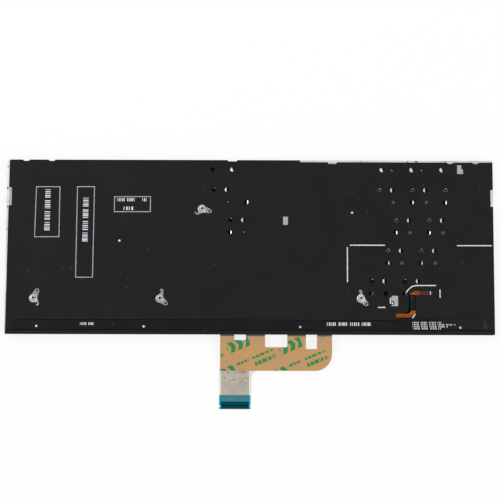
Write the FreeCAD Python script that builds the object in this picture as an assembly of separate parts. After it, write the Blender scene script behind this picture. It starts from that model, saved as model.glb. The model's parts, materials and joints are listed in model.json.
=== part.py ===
import FreeCAD, Part
import math
import os

# Backlit laptop keyboard module, lying on its key tops with its back upward.
# X runs along the rows, Y towards the function row, Z from the key tops to the back.
# The origin is on the resting plane, under the middle of the module and its tail.
# Seen from the back, the keyboard's own left side is at +X.

V = FreeCAD.Vector

# Module outline
plate_width = 280.0
plate_depth = 100.5
plate_top_y = 71.4
plate_bottom_y = plate_top_y - plate_depth
edge_x = plate_width / 2
plate_corner = 0.7
notch_x = (-13.2, -6.9)
notch_depth = 1.2
notch_slope = 0.9
scallop_r = 2.9
plate_scallops = [(-129.0, 2.0), (-114.2, 2.0)]

# Layers, from the key tops upward
cap_height = 2.0
cap_wall = 0.9
cap_roof = 0.8
key_travel = 1.25
press_room = 0.15
membrane_z = cap_height + key_travel + press_room
membrane_t = 0.25
plate_z = membrane_z + membrane_t
plate_t = 0.4
guide_z = plate_z + plate_t
guide_t = 0.3
film_z = guide_z + guide_t
film_t = 0.15
back_z = film_z + film_t
tape_t = 0.1
flex_t = 0.12

# Key field
unit = 19.05
row_pitch = 17.5
field_x = 139.6
field_width = 2 * field_x
number_row_y = 50.65
key_gap_x = 3.0
key_gap_y = 3.0
cap_chamfer = 0.9
cap_taper = 0.3
plain_cap_width = 17.0
function_y = 64.8
function_depth = 8.8
escape_width = 17.87
function_pitch = 17.25
half_key_depth = 6.6

# Scissor mechanism under each key
frame_t = 0.7
frame_arm = 0.9
outer_frame_width = 10.4
frame_side_play = 0.2
reach_ratio = 0.49
frame_overhang = 1.3
frame_end_play = 0.03
hook_t = 0.4
hook_play = 0.12
hook_lip = 0.8
hook_lip_t = 0.3
slot_play = 0.15
frame_cap_play = 0.3
dome_base_r = 2.6
dome_tip_ratio = 0.55
dome_sides = 6
dome_play = 0.1

# Wire that keeps the long space bar level
wire_r = 0.3
wire_span = 80.0
wire_arm = 7.0
wire_bar_y = 5.4
wire_bar_z = 1.3
wire_pivot_z = 2.95
wire_foot = 2.0
wire_sides = 6
clip_t = 0.35
clip_width = 4.0

# Screw bosses: a threaded sleeve on a flange, with bent legs
sleeve_r = 1.9
sleeve_sides = 10
sleeve_bore_r = 0.8
sleeve_height = 1.7
flange_r = 2.7
flange_t = 0.4
shank_r = 1.4
leg_width = 1.4
leg_root_width = 4.0
eyelet_width = 2.4
eyelet_r = 1.3
eyelet_hole_r = 0.5
bosses = [
    {"at": (-27.5, 43.3), "leg": (-31.0, 40.6), "eyelet": (-23.2, 41.6)},
    {"at": (-123.5, -8.3), "leg": (-120.6, -12.2), "eyelet": (-121.4, -4.3)},
    {"at": (-51.3, -8.3), "leg": (-50.2, -3.8), "eyelet": (-47.9, -11.4)},
    {"at": (63.6, -8.0), "leg": (63.9, -4.0), "eyelet": (66.8, -11.6)},
]

# Tail: a wide flap, a narrow ribbon and a stiffened end
flap_x = (-16.7, 47.1)
flap_end_y = -49.6
flap_corner_r = 9.5
ribbon_x = (-17.2, 1.1)
ribbon_fillet_r = 4.0
tail_end_y = -71.4
stiffener_y = -63.5
end_nick_y = -69.7
end_nick = 1.1
liner_t = 0.12
stiffener_t = 0.2
tail_cutouts = [(-8.6, -2.0, -32.2), (8.9, 21.6, -36.2), (32.2, 38.5, -37.2)]
tail_bend_y = -31.5
tail_bend_r = 40.0
tail_slope = math.radians(8)

# Edges and openings of the black back film
film_left_x = (-139.4, -138.6)
film_step_x = 28.9
film_step = 1.1
film_notch_x = (44.5, 50.8)
film_notch_depth = 1.0
film_scallops = plate_scallops + [(115.5, 0.9), (130.2, 0.9)]
film_edge_windows = [(edge_x, 50.3, 3.4, 11.4), (-edge_x, 50.0, 6.0, 10.4)]
hook_hole_r = 1.3
pin_hole_r = 0.75
hole_sides = 6
pin_holes = [
    (-74.7, 24.5), (58.8, 41.0), (-121.5, -24.5), (-60.3, -24.6), (28.9, -24.7), (120.2, -24.8),
]
film_holes = {
    "1": ((-1,), (-1,)), "2": ((-1, 1), (-1, 1)), "3": ((-1, 1), (1,)), "7": ((), (-1,)),
    "8": ((-1, 1), (1,)), "q": ((-1, 1), (-1, 1)), "w": ((-1, 1), (-1, 1)), "u": ((-1, 1), (-1, 1)),
    "a": ((-1, 1), (-1, 1)), "s": ((-1, 1), (-1, 1)), "z": ((-1, 1), (-1,)), "x": ((-1, 1), (-1, 1)),
    "function_1": ((-1,), ()), "function_2": ((-1, 1), ()), "function_3": ((-1, 1), ()),
    "function_8": ((-1,), ()), "function_9": ((1,), ()),
}
upper_hole = (3.35, 3.5)
lower_hole = (4.0, -3.6)
function_hole_y = 1.1
film_windows = [(19.1, 22.0, 33.8, 38.6), (119.5, 123.0, 63.6, 68.8), (81.1, 84.9, -12.7, -6.7)]

# Adhesive strip and flexible circuit on the film
tape_x = (-136.0, 136.0)
tape_y = (-26.1, -20.9)
tape_step = (85.3, -19.4)
flex_line = [(83.6, -17.9), (91.4, -17.9), (93.3, -15.6), (93.3, -5.1), (104.8, -5.1)]
flex_width = 2.4

letter_rows = ["qwertyuiop", "asdfghjkl", "zxcvbnm"]
digits = "1234567890"
wide_keys = ["backspace", "tab", "caps_lock", "enter", "shift_left", "shift_right", "space"]


def face_of(points, z):
    """Flat face through a list of (x, y) corners at one height."""
    corners = [V(x, y, z) for x, y in points]
    return Part.Face(Part.makePolygon(corners + corners[:1]))


def slab(points, z, thickness):
    """Straight prism on a polygon."""
    return face_of(points, z).extrude(V(0, 0, thickness))


def rectangle(x, y, width, depth):
    """Corners of a rectangle about its centre."""
    w, d = width / 2, depth / 2
    return [(x - w, y - d), (x + w, y - d), (x + w, y + d), (x - w, y + d)]


def chamfered_rectangle(x, y, width, depth, cut):
    """Corners of a rectangle whose four corners are cut at 45 degrees."""
    w, d = width / 2, depth / 2
    return [
        (x - w + cut, y - d), (x + w - cut, y - d), (x + w, y - d + cut), (x + w, y + d - cut),
        (x + w - cut, y + d), (x - w + cut, y + d), (x - w, y + d - cut), (x - w, y - d + cut),
    ]


def regular_polygon(x, y, radius, sides):
    """Corners of a regular polygon of the same area as a circle."""
    step = 2 * math.pi / sides
    reach = radius * math.sqrt(step / math.sin(step))
    return [(x + reach * math.cos(step * i), y + reach * math.sin(step * i)) for i in range(sides)]


def prismoid(low, high, z_low, z_high):
    """Closed solid between two polygons with equal numbers of parallel edges."""
    a = [V(x, y, z_low) for x, y in low]
    b = [V(x, y, z_high) for x, y in high]
    faces = [Part.Face(Part.makePolygon(ring + ring[:1])) for ring in (a, b)]
    for i in range(len(a)):
        j = (i + 1) % len(a)
        faces.append(Part.Face(Part.makePolygon([a[i], a[j], b[j], b[i], a[i]])))
    solid = Part.Solid(Part.Shell(faces))
    if solid.Volume < 0:
        solid.reverse()
    return solid


def band(points, width):
    """Outline of a strip of constant width along a bent line, mitred at its corners."""
    left, right = [], []
    for i, (x, y) in enumerate(points):
        before = points[max(i - 1, 0)]
        after = points[min(i + 1, len(points) - 1)]
        u = unit_vector(before, (x, y)) if i else unit_vector((x, y), after)
        w = unit_vector((x, y), after) if i < len(points) - 1 else u
        nx, ny = -(u[1] + w[1]), u[0] + w[0]
        stretch = width / (1 + u[0] * w[0] + u[1] * w[1]) / 2
        left.append((x + nx * stretch, y + ny * stretch))
        right.append((x - nx * stretch, y - ny * stretch))
    return left + right[::-1]


def tapered_strip(start, start_width, end, end_width):
    """Corners of a straight strip whose width changes evenly from one end to the other."""
    ux, uy = unit_vector(start, end)
    a, b = start_width / 2, end_width / 2
    sides = [(start, -a), (end, -b), (end, b), (start, a)]
    return [(x - uy * half, y + ux * half) for (x, y), half in sides]


def unit_vector(a, b):
    """Direction from one point to another."""
    length = math.hypot(b[0] - a[0], b[1] - a[1])
    return (b[0] - a[0]) / length, (b[1] - a[1]) / length


def key(name, x, y, width, depth):
    """One key: the centre of its cap and the cap's size."""
    return {"name": name, "x": x, "y": y, "w": width, "d": depth}


def laid_out(names, widths, y, depth):
    """Keys of one row, set side by side from the keyboard's left end."""
    left = field_x
    keys = []
    for name, width in zip(names, widths):
        keys.append(key(name, left - width / 2, y, width - key_gap_x, depth))
        left -= width
    return keys


def letter_row(first, letters, last, lead, row, fillers):
    """A row of letter keys between a wide first key and a wide last key."""
    names = [first] + list(letters) + fillers + [last]
    middle = len(names) - 2
    widths = [lead * unit] + [unit] * middle
    widths.append(field_width - sum(widths))
    return laid_out(names, widths, number_row_y - row * row_pitch, row_pitch - key_gap_y)


def function_row():
    """Short keys along the top edge."""
    names = ["escape"] + ["function_%d" % i for i in range(1, 15)] + ["power"]
    widths = [escape_width] + [function_pitch] * 14
    widths.append(field_width - sum(widths))
    return laid_out(names, widths, function_y, function_depth)


def bottom_row():
    """Modifiers, the space bar and the arrow keys."""
    names = ["control_left", "fn", "menu", "alt_left", "space", "alt_right", "control_right"]
    widths = [w * unit for w in (1.25, 1, 1, 1, 5, 1, 1.4)]
    y = number_row_y - 4 * row_pitch
    keys = laid_out(names, widths, y, row_pitch - key_gap_y)
    left = field_x - sum(widths)
    arrow = (field_width - sum(widths)) / 3
    for i, name in enumerate(["arrow_left", "arrow_middle", "arrow_right"]):
        x = left - arrow * (i + 0.5)
        if name == "arrow_middle":
            shift = (row_pitch - key_gap_y - half_key_depth) / 2
            keys.append(key("arrow_up", x, y + shift, arrow - key_gap_x, half_key_depth))
            keys.append(key("arrow_down", x, y - shift, arrow - key_gap_x, half_key_depth))
        else:
            keys.append(key(name, x, y, arrow - key_gap_x, row_pitch - key_gap_y))
    return keys


def all_keys():
    """Every key of the board, by name."""
    rows = function_row()
    rows += letter_row("grave", digits, "backspace", 0.75, 0, ["minus", "equal"])
    rows += letter_row("tab", letter_rows[0], "backslash", 1.25, 1, ["bracket_left", "bracket_right"])
    rows += letter_row("caps_lock", letter_rows[1], "enter", 1.5, 2, ["semicolon", "quote"])
    rows += letter_row("shift_left", letter_rows[2], "shift_right", 2, 3, ["comma", "period", "slash"])
    rows += bottom_row()
    return {k["name"]: k for k in rows}


def keycap(k):
    """Hollow cap with tapered sides, open towards the back. Only wide caps have cut corners."""
    x, y, w, d = k["x"], k["y"], k["w"], k["d"]
    if w > plain_cap_width:
        top = chamfered_rectangle(x, y, w - 2 * cap_taper, d - 2 * cap_taper, cap_chamfer)
        skirt = chamfered_rectangle(x, y, w, d, cap_chamfer)
    else:
        top = rectangle(x, y, w - 2 * cap_taper, d - 2 * cap_taper)
        skirt = rectangle(x, y, w, d)
    hollow = rectangle(x, y, w - 2 * cap_wall, d - 2 * cap_wall)
    inside = slab(hollow, cap_roof, cap_height - cap_roof)
    return prismoid(top, skirt, 0, cap_height).cut(inside)


def frame_sizes(k):
    """Width and length of a key's outer scissor frame, then of its inner one."""
    outer_w = min(outer_frame_width, k["w"] - 2 * (cap_wall + frame_cap_play))
    inner_w = outer_w - 2 * (frame_arm + frame_side_play)
    outer_l = reach_ratio * k["d"] + frame_overhang
    inner_l = outer_l - 2 * frame_side_play
    return (outer_w, outer_l), (inner_w, inner_l)


def scissor_frame(k, size, direction):
    """Tilted rectangular frame that spans from the membrane to the inside of the cap."""
    width, length = size
    room = (membrane_z - cap_roof) / 2 - frame_end_play
    tilt = math.asin((room - frame_t / 2) / (length / 2))
    outline = rectangle(0, 0, width, length)
    opening = rectangle(0, 0, width - 2 * frame_arm, length - 2 * frame_arm)
    frame = slab(outline, -frame_t / 2, frame_t).cut(slab(opening, -frame_t, 2 * frame_t))
    frame.rotate(V(0, 0, 0), V(1, 0, 0), -direction * math.degrees(tilt))
    frame.translate(V(k["x"], k["y"], (membrane_z + cap_roof) / 2))
    return frame


def rubber_dome(k):
    """Spring dome that stands on the membrane inside the two frames."""
    inner_w, inner_l = frame_sizes(k)[1]
    half_room = min(inner_w, inner_l) / 2 - frame_arm - dome_play
    r = min(dome_base_r, half_room)
    base = regular_polygon(k["x"], k["y"], r, dome_sides)
    tip = regular_polygon(k["x"], k["y"], r * dome_tip_ratio, dome_sides)
    return prismoid(tip, base, cap_roof, membrane_z)


def hook_places(k):
    """The hooks that hold a key's frames: x, y, facing, width. Facing is the way a lip points."""
    (outer_w, outer_l), (inner_w, inner_l) = frame_sizes(k)
    low = k["y"] - inner_l / 2 - hook_play
    high = k["y"] + outer_l / 2 + hook_play
    places = [(k["x"], low, 1, inner_w - 2 * frame_arm), (k["x"], high, -1, outer_w - 2 * frame_arm)]
    if k["name"] == "space":
        pivot_y = k["y"] + wire_bar_y - wire_arm
        for side in (-1, 1):
            x = k["x"] + side * (wire_span / 2 - wire_foot / 2 - wire_r)
            places.append((x, pivot_y - wire_r - hook_play, 1, wire_foot - 2 * wire_r))
    return places


def plate_hook(x, y, facing, width):
    """Hook bent down from the plate: an upright wall with a lip under the pivot that it holds."""
    tip_z = wire_pivot_z - frame_t / 2 - hook_lip_t - hook_play
    back = y - facing * hook_t
    profile = [
        (back, plate_z), (y, plate_z), (y, tip_z + hook_lip_t), (y + facing * hook_lip, tip_z + hook_lip_t),
        (y + facing * hook_lip, tip_z), (back, tip_z),
    ]
    corners = [V(x - width / 2, py, pz) for py, pz in profile]
    return Part.Face(Part.makePolygon(corners + corners[:1])).extrude(V(width, 0, 0))


def hook_slot(x, y, facing, width):
    """Opening in the membrane that a hook passes through."""
    depth = hook_t + 2 * slot_play
    outline = rectangle(x, y - facing * hook_t / 2, width + 2 * slot_play, depth)
    return slab(outline, membrane_z - 1, membrane_t + 2)


def edge_notch(x, y_edge, depth, z, thickness):
    """Tapered notch to be cut from an edge that faces +Y."""
    low, high = x
    floor = y_edge - depth
    corners = [(low, y_edge + 1), (low + notch_slope, floor), (high - notch_slope, floor), (high, y_edge + 1)]
    return slab(corners, z, thickness)


def scallop(place, z, thickness):
    """Shallow round bite to be cut from the top edge: its x and its centre's height over the edge."""
    x, rise = place
    return slab(regular_polygon(x, plate_top_y + rise, scallop_r, 2 * hole_sides), z, thickness)


def base_plate(hooked):
    """Stamped metal plate with one hook at each end of a key, and notches along its top edge."""
    middle_y = (plate_top_y + plate_bottom_y) / 2
    plate = slab(chamfered_rectangle(0, middle_y, plate_width, plate_depth, plate_corner), plate_z, plate_t)
    cuts = [edge_notch(notch_x, plate_top_y, notch_depth, plate_z, plate_t)]
    cuts += [scallop(place, plate_z, plate_t) for place in plate_scallops]
    plate = plate.cut(cuts)
    hooks = [plate_hook(*place) for k in hooked for place in hook_places(k)]
    return plate.fuse(hooks).removeSplitter()


def membrane_circuit(hooked):
    """Switch membrane under the plate, with slots for the hooks, and its tail."""
    margin = 0.6
    depth = plate_depth - margin
    flat = slab(
        rectangle(0, plate_bottom_y + depth / 2, plate_width - 2 * margin, depth), membrane_z, membrane_t
    )
    flat = flat.cut([hook_slot(*place) for k in hooked for place in hook_places(k)])
    tail = drooped_layer(tail_outline(), 0, membrane_t, plate_bottom_y)
    return flat.fuse(tail).removeSplitter()


def droop_profile(offset, y_start):
    """Side view of one face of the tail: level, a bend down, a slope, a bend back, level again."""
    drop = membrane_z
    r, a = tail_bend_r, tail_slope
    run = (drop - 2 * r * (1 - math.cos(a))) / math.sin(a)
    land_y = tail_bend_y - 2 * r * math.sin(a) - run * math.cos(a)
    first = V(0, tail_bend_y, membrane_z - r)
    second = V(0, land_y, r)

    def on_first(angle):
        return first + V(0, -(r + offset) * math.sin(angle), (r + offset) * math.cos(angle))

    def on_second(angle):
        return second + V(0, (r - offset) * math.sin(angle), -(r - offset) * math.cos(angle))

    start = V(0, y_start, membrane_z + offset)
    end = V(0, tail_end_y, offset)
    return [
        Part.LineSegment(start, on_first(0)),
        Part.Arc(on_first(0), on_first(a / 2), on_first(a)),
        Part.LineSegment(on_first(a), on_second(a)),
        Part.Arc(on_second(a), on_second(a / 2), on_second(0)),
        Part.LineSegment(on_second(0), end),
    ]


def drooped_layer(outline, offset, thickness, y_start):
    """A layer of the tail: its plan outline cut from a sheet that droops to the resting plane."""
    low = [curve.toShape() for curve in droop_profile(offset, y_start)]
    high = [curve.toShape() for curve in droop_profile(offset + thickness, y_start)]
    ends = [
        Part.makeLine(low[0].Vertexes[0].Point, high[0].Vertexes[0].Point),
        Part.makeLine(low[-1].Vertexes[-1].Point, high[-1].Vertexes[-1].Point),
    ]
    wire = Part.Wire(Part.__sortEdges__(low + high + ends))
    sheet = Part.Face(wire).extrude(V(plate_width, 0, 0))
    sheet.translate(V(-edge_x, 0, 0))
    return sheet.common(outline)


def rounded_corner(x, y, r, turn):
    """Wedge left outside a rounded convex corner whose box reaches inward by the radius."""
    sx, sy = turn
    square = slab(rectangle(x - sx * r / 2 + sx, y - sy * r / 2 + sy, r + 2, r + 2), -1, plate_z + 3)
    return square.cut(Part.makeCylinder(r, plate_z + 3, V(x - sx * r, y - sy * r, -1)))


def flap_outline():
    """Plan of the wide flap, with its cut-outs and one round corner, as a tall prism."""
    low_x, high_x = flap_x
    y = (plate_bottom_y + flap_end_y) / 2
    depth = plate_bottom_y - flap_end_y
    flap = slab(rectangle((low_x + high_x) / 2, y, high_x - low_x, depth), -1, plate_z + 3)
    cuts = [rounded_corner(high_x, flap_end_y, flap_corner_r, (1, -1))]
    top = plate_bottom_y
    for x0, x1, y_end in tail_cutouts:
        cuts.append(slab([(x0, y_end), (x1, y_end), (x1, top), (x0, top)], -1, plate_z + 3))
    return flap.cut(cuts)


def tail_outline():
    """Plan of the whole tail: flap, fillet and ribbon, as a tall prism."""
    x0, x1 = ribbon_x
    top = flap_end_y + 1
    ribbon = slab([(x0, tail_end_y), (x1, tail_end_y), (x1, top), (x0, top)], -1, plate_z + 3)
    r = ribbon_fillet_r
    fillet = slab(rectangle(x1 + r / 2, flap_end_y - r / 2, r, r), -1, plate_z + 3)
    fillet = fillet.cut(Part.makeCylinder(r, plate_z + 3, V(x1 + r, flap_end_y - r, -1)))
    return flap_outline().fuse([ribbon, fillet]).cut(end_nicks())


def end_nicks():
    """Wedges cut from both sides of the contact end, where its connector grips it."""
    y, depth = end_nick_y, end_nick
    wedges = []
    for x, side in zip(ribbon_x, (-1, 1)):
        corners = [(x + side, y - depth), (x - side * depth, y), (x + side, y + depth)]
        wedges.append(slab(corners, -1, plate_z + 3))
    return wedges


def tail_liner():
    """Release paper over the flap's adhesive, on the side that faces the back."""
    return drooped_layer(flap_outline(), membrane_t, liner_t, plate_bottom_y - 0.2)


def tail_stiffener():
    """Stiff backing of the contact end."""
    x0, x1 = ribbon_x
    y0, y1 = tail_end_y, stiffener_y
    backing = slab([(x0, y0), (x1, y0), (x1, y1), (x0, y1)], membrane_t, stiffener_t)
    return backing.cut(end_nicks())


def light_guide():
    """Clear sheet that spreads the backlight, with round holes for the boss shanks."""
    margin = 1.5
    sheet = slab(
        rectangle(0, plate_top_y - plate_depth / 2, plate_width - 2 * margin, plate_depth - 2 * margin),
        guide_z, guide_t,
    )
    return sheet.cut([boss_hole(b) for b in bosses])


def boss_hole(boss):
    """Clearance for one boss shank through the film and the light guide."""
    x, y = boss["at"]
    return slab(regular_polygon(x, y, shank_r + 0.15, hole_sides), guide_z - 1, guide_t + film_t + 2)


def hook_hole_places():
    """Places of the film's round holes over the hook feet of some keys."""
    keys = all_keys()
    holes = []
    for name, (upper, lower) in film_holes.items():
        x, y = keys[name]["x"], keys[name]["y"]
        rise = function_hole_y if name.startswith("function") else upper_hole[1]
        holes += [(x + side * upper_hole[0], y + rise) for side in upper]
        holes += [(x + side * lower_hole[0], y + lower_hole[1]) for side in lower]
    return holes


def back_film():
    """Black film over the back, with notched edges, round holes and three windows."""
    low_x, high_x = film_left_x
    cut = plate_corner
    step_y = plate_top_y - film_step
    outline = [
        (low_x + cut, plate_bottom_y), (edge_x - cut, plate_bottom_y), (edge_x, plate_bottom_y + cut),
        (edge_x, step_y), (film_step_x, step_y), (film_step_x, plate_top_y), (high_x + cut, plate_top_y),
        (high_x, plate_top_y - cut), (low_x, plate_bottom_y + cut),
    ]
    film = slab(outline, film_z, film_t)
    places = [(x, y, hook_hole_r) for x, y in hook_hole_places()] + [(x, y, pin_hole_r) for x, y in pin_holes]
    cuts = [slab(regular_polygon(x, y, r, hole_sides), film_z, film_t) for x, y, r in places]
    cuts += [boss_hole(b) for b in bosses]
    cuts += [slab([(a, c), (b, c), (b, d), (a, d)], film_z, film_t) for a, b, c, d in film_windows]
    cuts += [slab(rectangle(*window), film_z, film_t) for window in film_edge_windows]
    cuts.append(edge_notch(notch_x, plate_top_y, notch_depth, film_z, film_t))
    cuts.append(edge_notch(film_notch_x, step_y, film_notch_depth, film_z, film_t))
    cuts += [scallop(place, film_z, film_t) for place in film_scallops]
    return film.cut(cuts)


def bottom_tape():
    """Black adhesive strip along the bottom edge, round at its far end and stepped near the flex."""
    (start, end), (low, high), (step_x, step_y) = tape_x, tape_y, tape_step
    r = (high - low) / 2
    outline = [
        (start + r, low), (end, low), (end, step_y), (step_x, step_y), (step_x, high), (start + r, high),
    ]
    round_end = Part.makeCylinder(r, tape_t, V(start + r, low + r, back_z))
    return slab(outline, back_z, tape_t).fuse(round_end).removeSplitter()


def backlight_flex():
    """Flexible circuit that feeds the backlight, bent in its own plane."""
    return slab(band(flex_line, flex_width), back_z, flex_t)


def screw_boss(boss):
    """Threaded sleeve on a flange, swaged through to the plate, with a tapered leg and an eyelet."""
    x, y = boss["at"]
    ex, ey = boss["eyelet"]
    flange_z = back_z
    body = slab(regular_polygon(x, y, sleeve_r, sleeve_sides), flange_z, flange_t + sleeve_height)
    pieces = [slab(regular_polygon(x, y, flange_r, sleeve_sides), flange_z, flange_t)]
    pieces.append(slab(regular_polygon(x, y, shank_r, hole_sides), guide_z, flange_z - guide_z))
    for end, width in ((boss["leg"], leg_width), (boss["eyelet"], eyelet_width)):
        pieces.append(slab(tapered_strip((x, y), leg_root_width, end, width), flange_z, flange_t))
    pieces.append(slab(regular_polygon(ex, ey, eyelet_r, hole_sides), flange_z, flange_t))
    solid = body.fuse(pieces)
    solid = solid.cut(slab(regular_polygon(ex, ey, eyelet_hole_r, hole_sides), flange_z, flange_t))
    bore = Part.makeCylinder(sleeve_bore_r, flange_t + sleeve_height, V(x, y, flange_z))
    return solid.cut(bore).removeSplitter()


def space_wire(k):
    """Bent wire: two feet that pivot in plate hooks, two arms, and a bar inside the cap."""
    x = k["x"]
    bar_y = k["y"] + wire_bar_y
    half = wire_span / 2
    rise = wire_pivot_z - wire_bar_z
    foot_y = bar_y - math.sqrt(wire_arm ** 2 - rise ** 2)
    arm = V(0, bar_y - foot_y, -rise) / wire_arm
    start = V(x - half, foot_y, wire_pivot_z) - arm * wire_r
    end = V(x + half, foot_y, wire_pivot_z) - arm * wire_r
    path = Part.makePolygon([start, V(x - half, bar_y, wire_bar_z), V(x + half, bar_y, wire_bar_z), end])
    across = V(1, 0, 0)
    upward = arm.cross(across)
    section = regular_polygon(0, 0, wire_r, wire_sides)
    ring = [start + across * a + upward * b for a, b in section]
    pipe = Part.BRepOffsetAPI.MakePipeShell(path)
    pipe.setTransitionMode(1)
    pipe.add(Part.makePolygon(ring + ring[:1]))
    pipe.build()
    pipe.makeSolid()
    feet = []
    for side in (-1, 1):
        ring = [V(x + side * half, foot_y + a, wire_pivot_z + b) for a, b in section]
        feet.append(Part.Face(Part.makePolygon(ring + ring[:1])).extrude(across * -side * wire_foot))
    return pipe.shape().fuse(feet).removeSplitter()


def space_cap(k):
    """Space bar with two clip ribs beside its levelling wire."""
    y = k["y"] + wire_bar_y - 2 * wire_r - clip_t
    ribs = []
    for x in (k["x"] - wire_span / 4, k["x"] + wire_span / 4):
        ribs.append(slab(rectangle(x, y, clip_width, clip_t), cap_roof, wire_bar_z - cap_roof))
    return keycap(k).fuse(ribs).removeSplitter()


def write(name, shapes):
    """Write one node as a STEP file. Several solids become one group."""
    shape = shapes[0] if len(shapes) == 1 else Part.makeCompound(shapes)
    shape.exportStep(os.path.join("parts", name + ".step"))


def main():
    os.makedirs("parts", exist_ok=True)
    keys = all_keys()
    moving = [name for row in letter_rows for name in row] + list(digits) + wide_keys
    groups = {
        "function_row_keys": [n for n in keys if n.startswith("function_") or n in ("escape", "power")],
        "arrow_keys": [n for n in keys if n.startswith("arrow_")],
        "modifier_keys": ["control_left", "fn", "menu", "alt_left", "alt_right", "control_right"],
    }
    placed = set(moving).union(*groups.values())
    groups["symbol_keys"] = [n for n in keys if n not in placed]
    for name in moving:
        cap = space_cap(keys[name]) if name == "space" else keycap(keys[name])
        write("key_" + name, [cap])
    for name, members in groups.items():
        write(name, [keycap(keys[n]) for n in members])

    hooked = [keys[name] for name in moving]
    every = list(keys.values())
    write("scissor_outer_frames", [scissor_frame(k, frame_sizes(k)[0], -1) for k in hooked])
    write("scissor_inner_frames", [scissor_frame(k, frame_sizes(k)[1], 1) for k in hooked])
    write("rubber_domes", [rubber_dome(k) for k in every])
    write("space_bar_wire", [space_wire(keys["space"])])
    write("base_plate", [base_plate(hooked)])
    write("membrane_circuit", [membrane_circuit(hooked)])
    write("tail_liner", [tail_liner()])
    write("tail_stiffener", [tail_stiffener()])
    write("light_guide", [light_guide()])
    write("back_film", [back_film()])
    write("bottom_tape", [bottom_tape()])
    write("backlight_flex", [backlight_flex()])
    write("screw_bosses", [screw_boss(b) for b in bosses])


main()
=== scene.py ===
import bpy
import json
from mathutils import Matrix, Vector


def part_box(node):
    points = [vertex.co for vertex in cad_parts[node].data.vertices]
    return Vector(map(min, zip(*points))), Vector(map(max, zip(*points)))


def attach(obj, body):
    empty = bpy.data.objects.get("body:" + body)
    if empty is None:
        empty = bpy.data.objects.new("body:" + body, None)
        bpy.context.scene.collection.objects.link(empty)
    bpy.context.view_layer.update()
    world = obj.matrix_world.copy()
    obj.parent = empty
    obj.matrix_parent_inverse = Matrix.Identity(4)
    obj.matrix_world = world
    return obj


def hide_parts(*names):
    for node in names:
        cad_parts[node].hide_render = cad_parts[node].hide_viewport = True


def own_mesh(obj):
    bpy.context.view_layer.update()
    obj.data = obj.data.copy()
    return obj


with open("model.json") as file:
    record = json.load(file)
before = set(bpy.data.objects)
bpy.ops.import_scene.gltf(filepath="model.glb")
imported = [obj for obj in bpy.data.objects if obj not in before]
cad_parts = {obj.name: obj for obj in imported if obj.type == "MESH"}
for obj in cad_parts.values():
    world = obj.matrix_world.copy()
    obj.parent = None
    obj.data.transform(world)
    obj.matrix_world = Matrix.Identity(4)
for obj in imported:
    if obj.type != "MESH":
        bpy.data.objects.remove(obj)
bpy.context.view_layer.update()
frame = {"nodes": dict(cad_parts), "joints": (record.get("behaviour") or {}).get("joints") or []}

import json
import math

import bpy
import numpy as np
from bpy.props import FloatProperty, FloatVectorProperty, PointerProperty
from mathutils import Matrix, Vector
from mathutils.geometry import delaunay_2d_cdt

bl_info = {
    "name": "Laptop Keyboard Module",
    "version": (1, 0, 0),
    "blender": (4, 5, 0),
    "location": "View3D > Sidebar > Keyboard",
    "description": "Builds a backlit laptop keyboard module that lies on its keys",
    "category": "Object",
}

# Lengths are in millimetres, turned into metres where a mesh is made.
# X runs along the rows, Y towards the function row, Z from the key tops to the back.
mm = 0.001


def box_of(node):
    """Lowest and highest corner of a CAD node."""
    low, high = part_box(node)
    return np.array(low) / mm, np.array(high) / mm


plate_low, plate_high = box_of("base_plate")
membrane_low, membrane_high = box_of("membrane_circuit")
guide_low, guide_high = box_of("light_guide")
film_low, film_high = box_of("back_film")
tape_low, tape_high = box_of("bottom_tape")
flex_low, flex_high = box_of("backlight_flex")
stiffener_low, stiffener_high = box_of("tail_stiffener")

plate_thickness = 0.4
plate_z = plate_high[2] - plate_thickness
membrane_thickness = 0.25
membrane_z = membrane_high[2] - membrane_thickness
back_z = film_high[2]
top_y = plate_high[1]
bottom_y = plate_low[1]
edge_x = plate_high[0]

# Key caps. Keys less deep than the shallow depth are those of the function row and the arrows.
cap_height = 2.0
cap_roof = 0.8
cap_wall = 0.9
cap_flare = 0.3
shallow_depth = 10.0
home_keys = ("key_f", "key_j")
home_bar_half = (1.6, 0.35)
home_bar_y = -3.6

# Legends: words stand at the side of keys wider than their depth by this share
sign_size = 3.4
word_size = 2.2
wide_share = 1.1
legend_margin = 1.2
legend_reach = 3.2
legend_lift = 2.6
legend_thickness = 0.014

# Scissor frames, as wide and long as the plate's hooks need them
frame_arm = 0.9
frame_thickness = 0.7
outer_frame_width = 10.4
frame_gap = 0.2
frame_reach = 0.49
frame_overhang = 1.3
frame_cap_play = 0.3
frame_end_play = 0.03
pivot_radius = 0.28
pivot_inset = 0.3

# Rubber domes: radius and height of the foot
dome_foot = 2.6
dome_flange = 0.2

# Hooks that hold the frames, two at each end of a key
hook_play = 0.12
hook_bend = 0.35
hook_tip_half = 0.15
hook_thickness = 0.4
hook_width = 1.6
hook_lip = 0.8
hook_x = 2.2
hook_tip_z = 2.18
hook_slot_half = (1.0, 0.4)

# Openings of the plate, from a key's middle. The function row has slanted ones, given by their corners.
slanted_windows = [
    [(-4.2, -0.4), (-3.0, -0.4), (-4.0, 1.5), (-4.2, 1.5)],
    [(-1.6, -0.4), (-1.0, -0.4), (-1.0, 2.6), (-2.7, 2.6)],
]
# The others are boxes: sides in X, sides in Y, corner radius. The last opening is round: place, radius.
function_window = (2.0, 4.7, -0.3, 2.5, 0.4)
key_boxes = [(-4.6, -1.5, 2.0, 5.0, 0.5), (4.15, 6.0, 2.1, 4.9, 0.3), (-5.6, -2.9, -5.0, -2.2, 0.3)]
round_window = (4.95, -3.6, 1.45)

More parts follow.
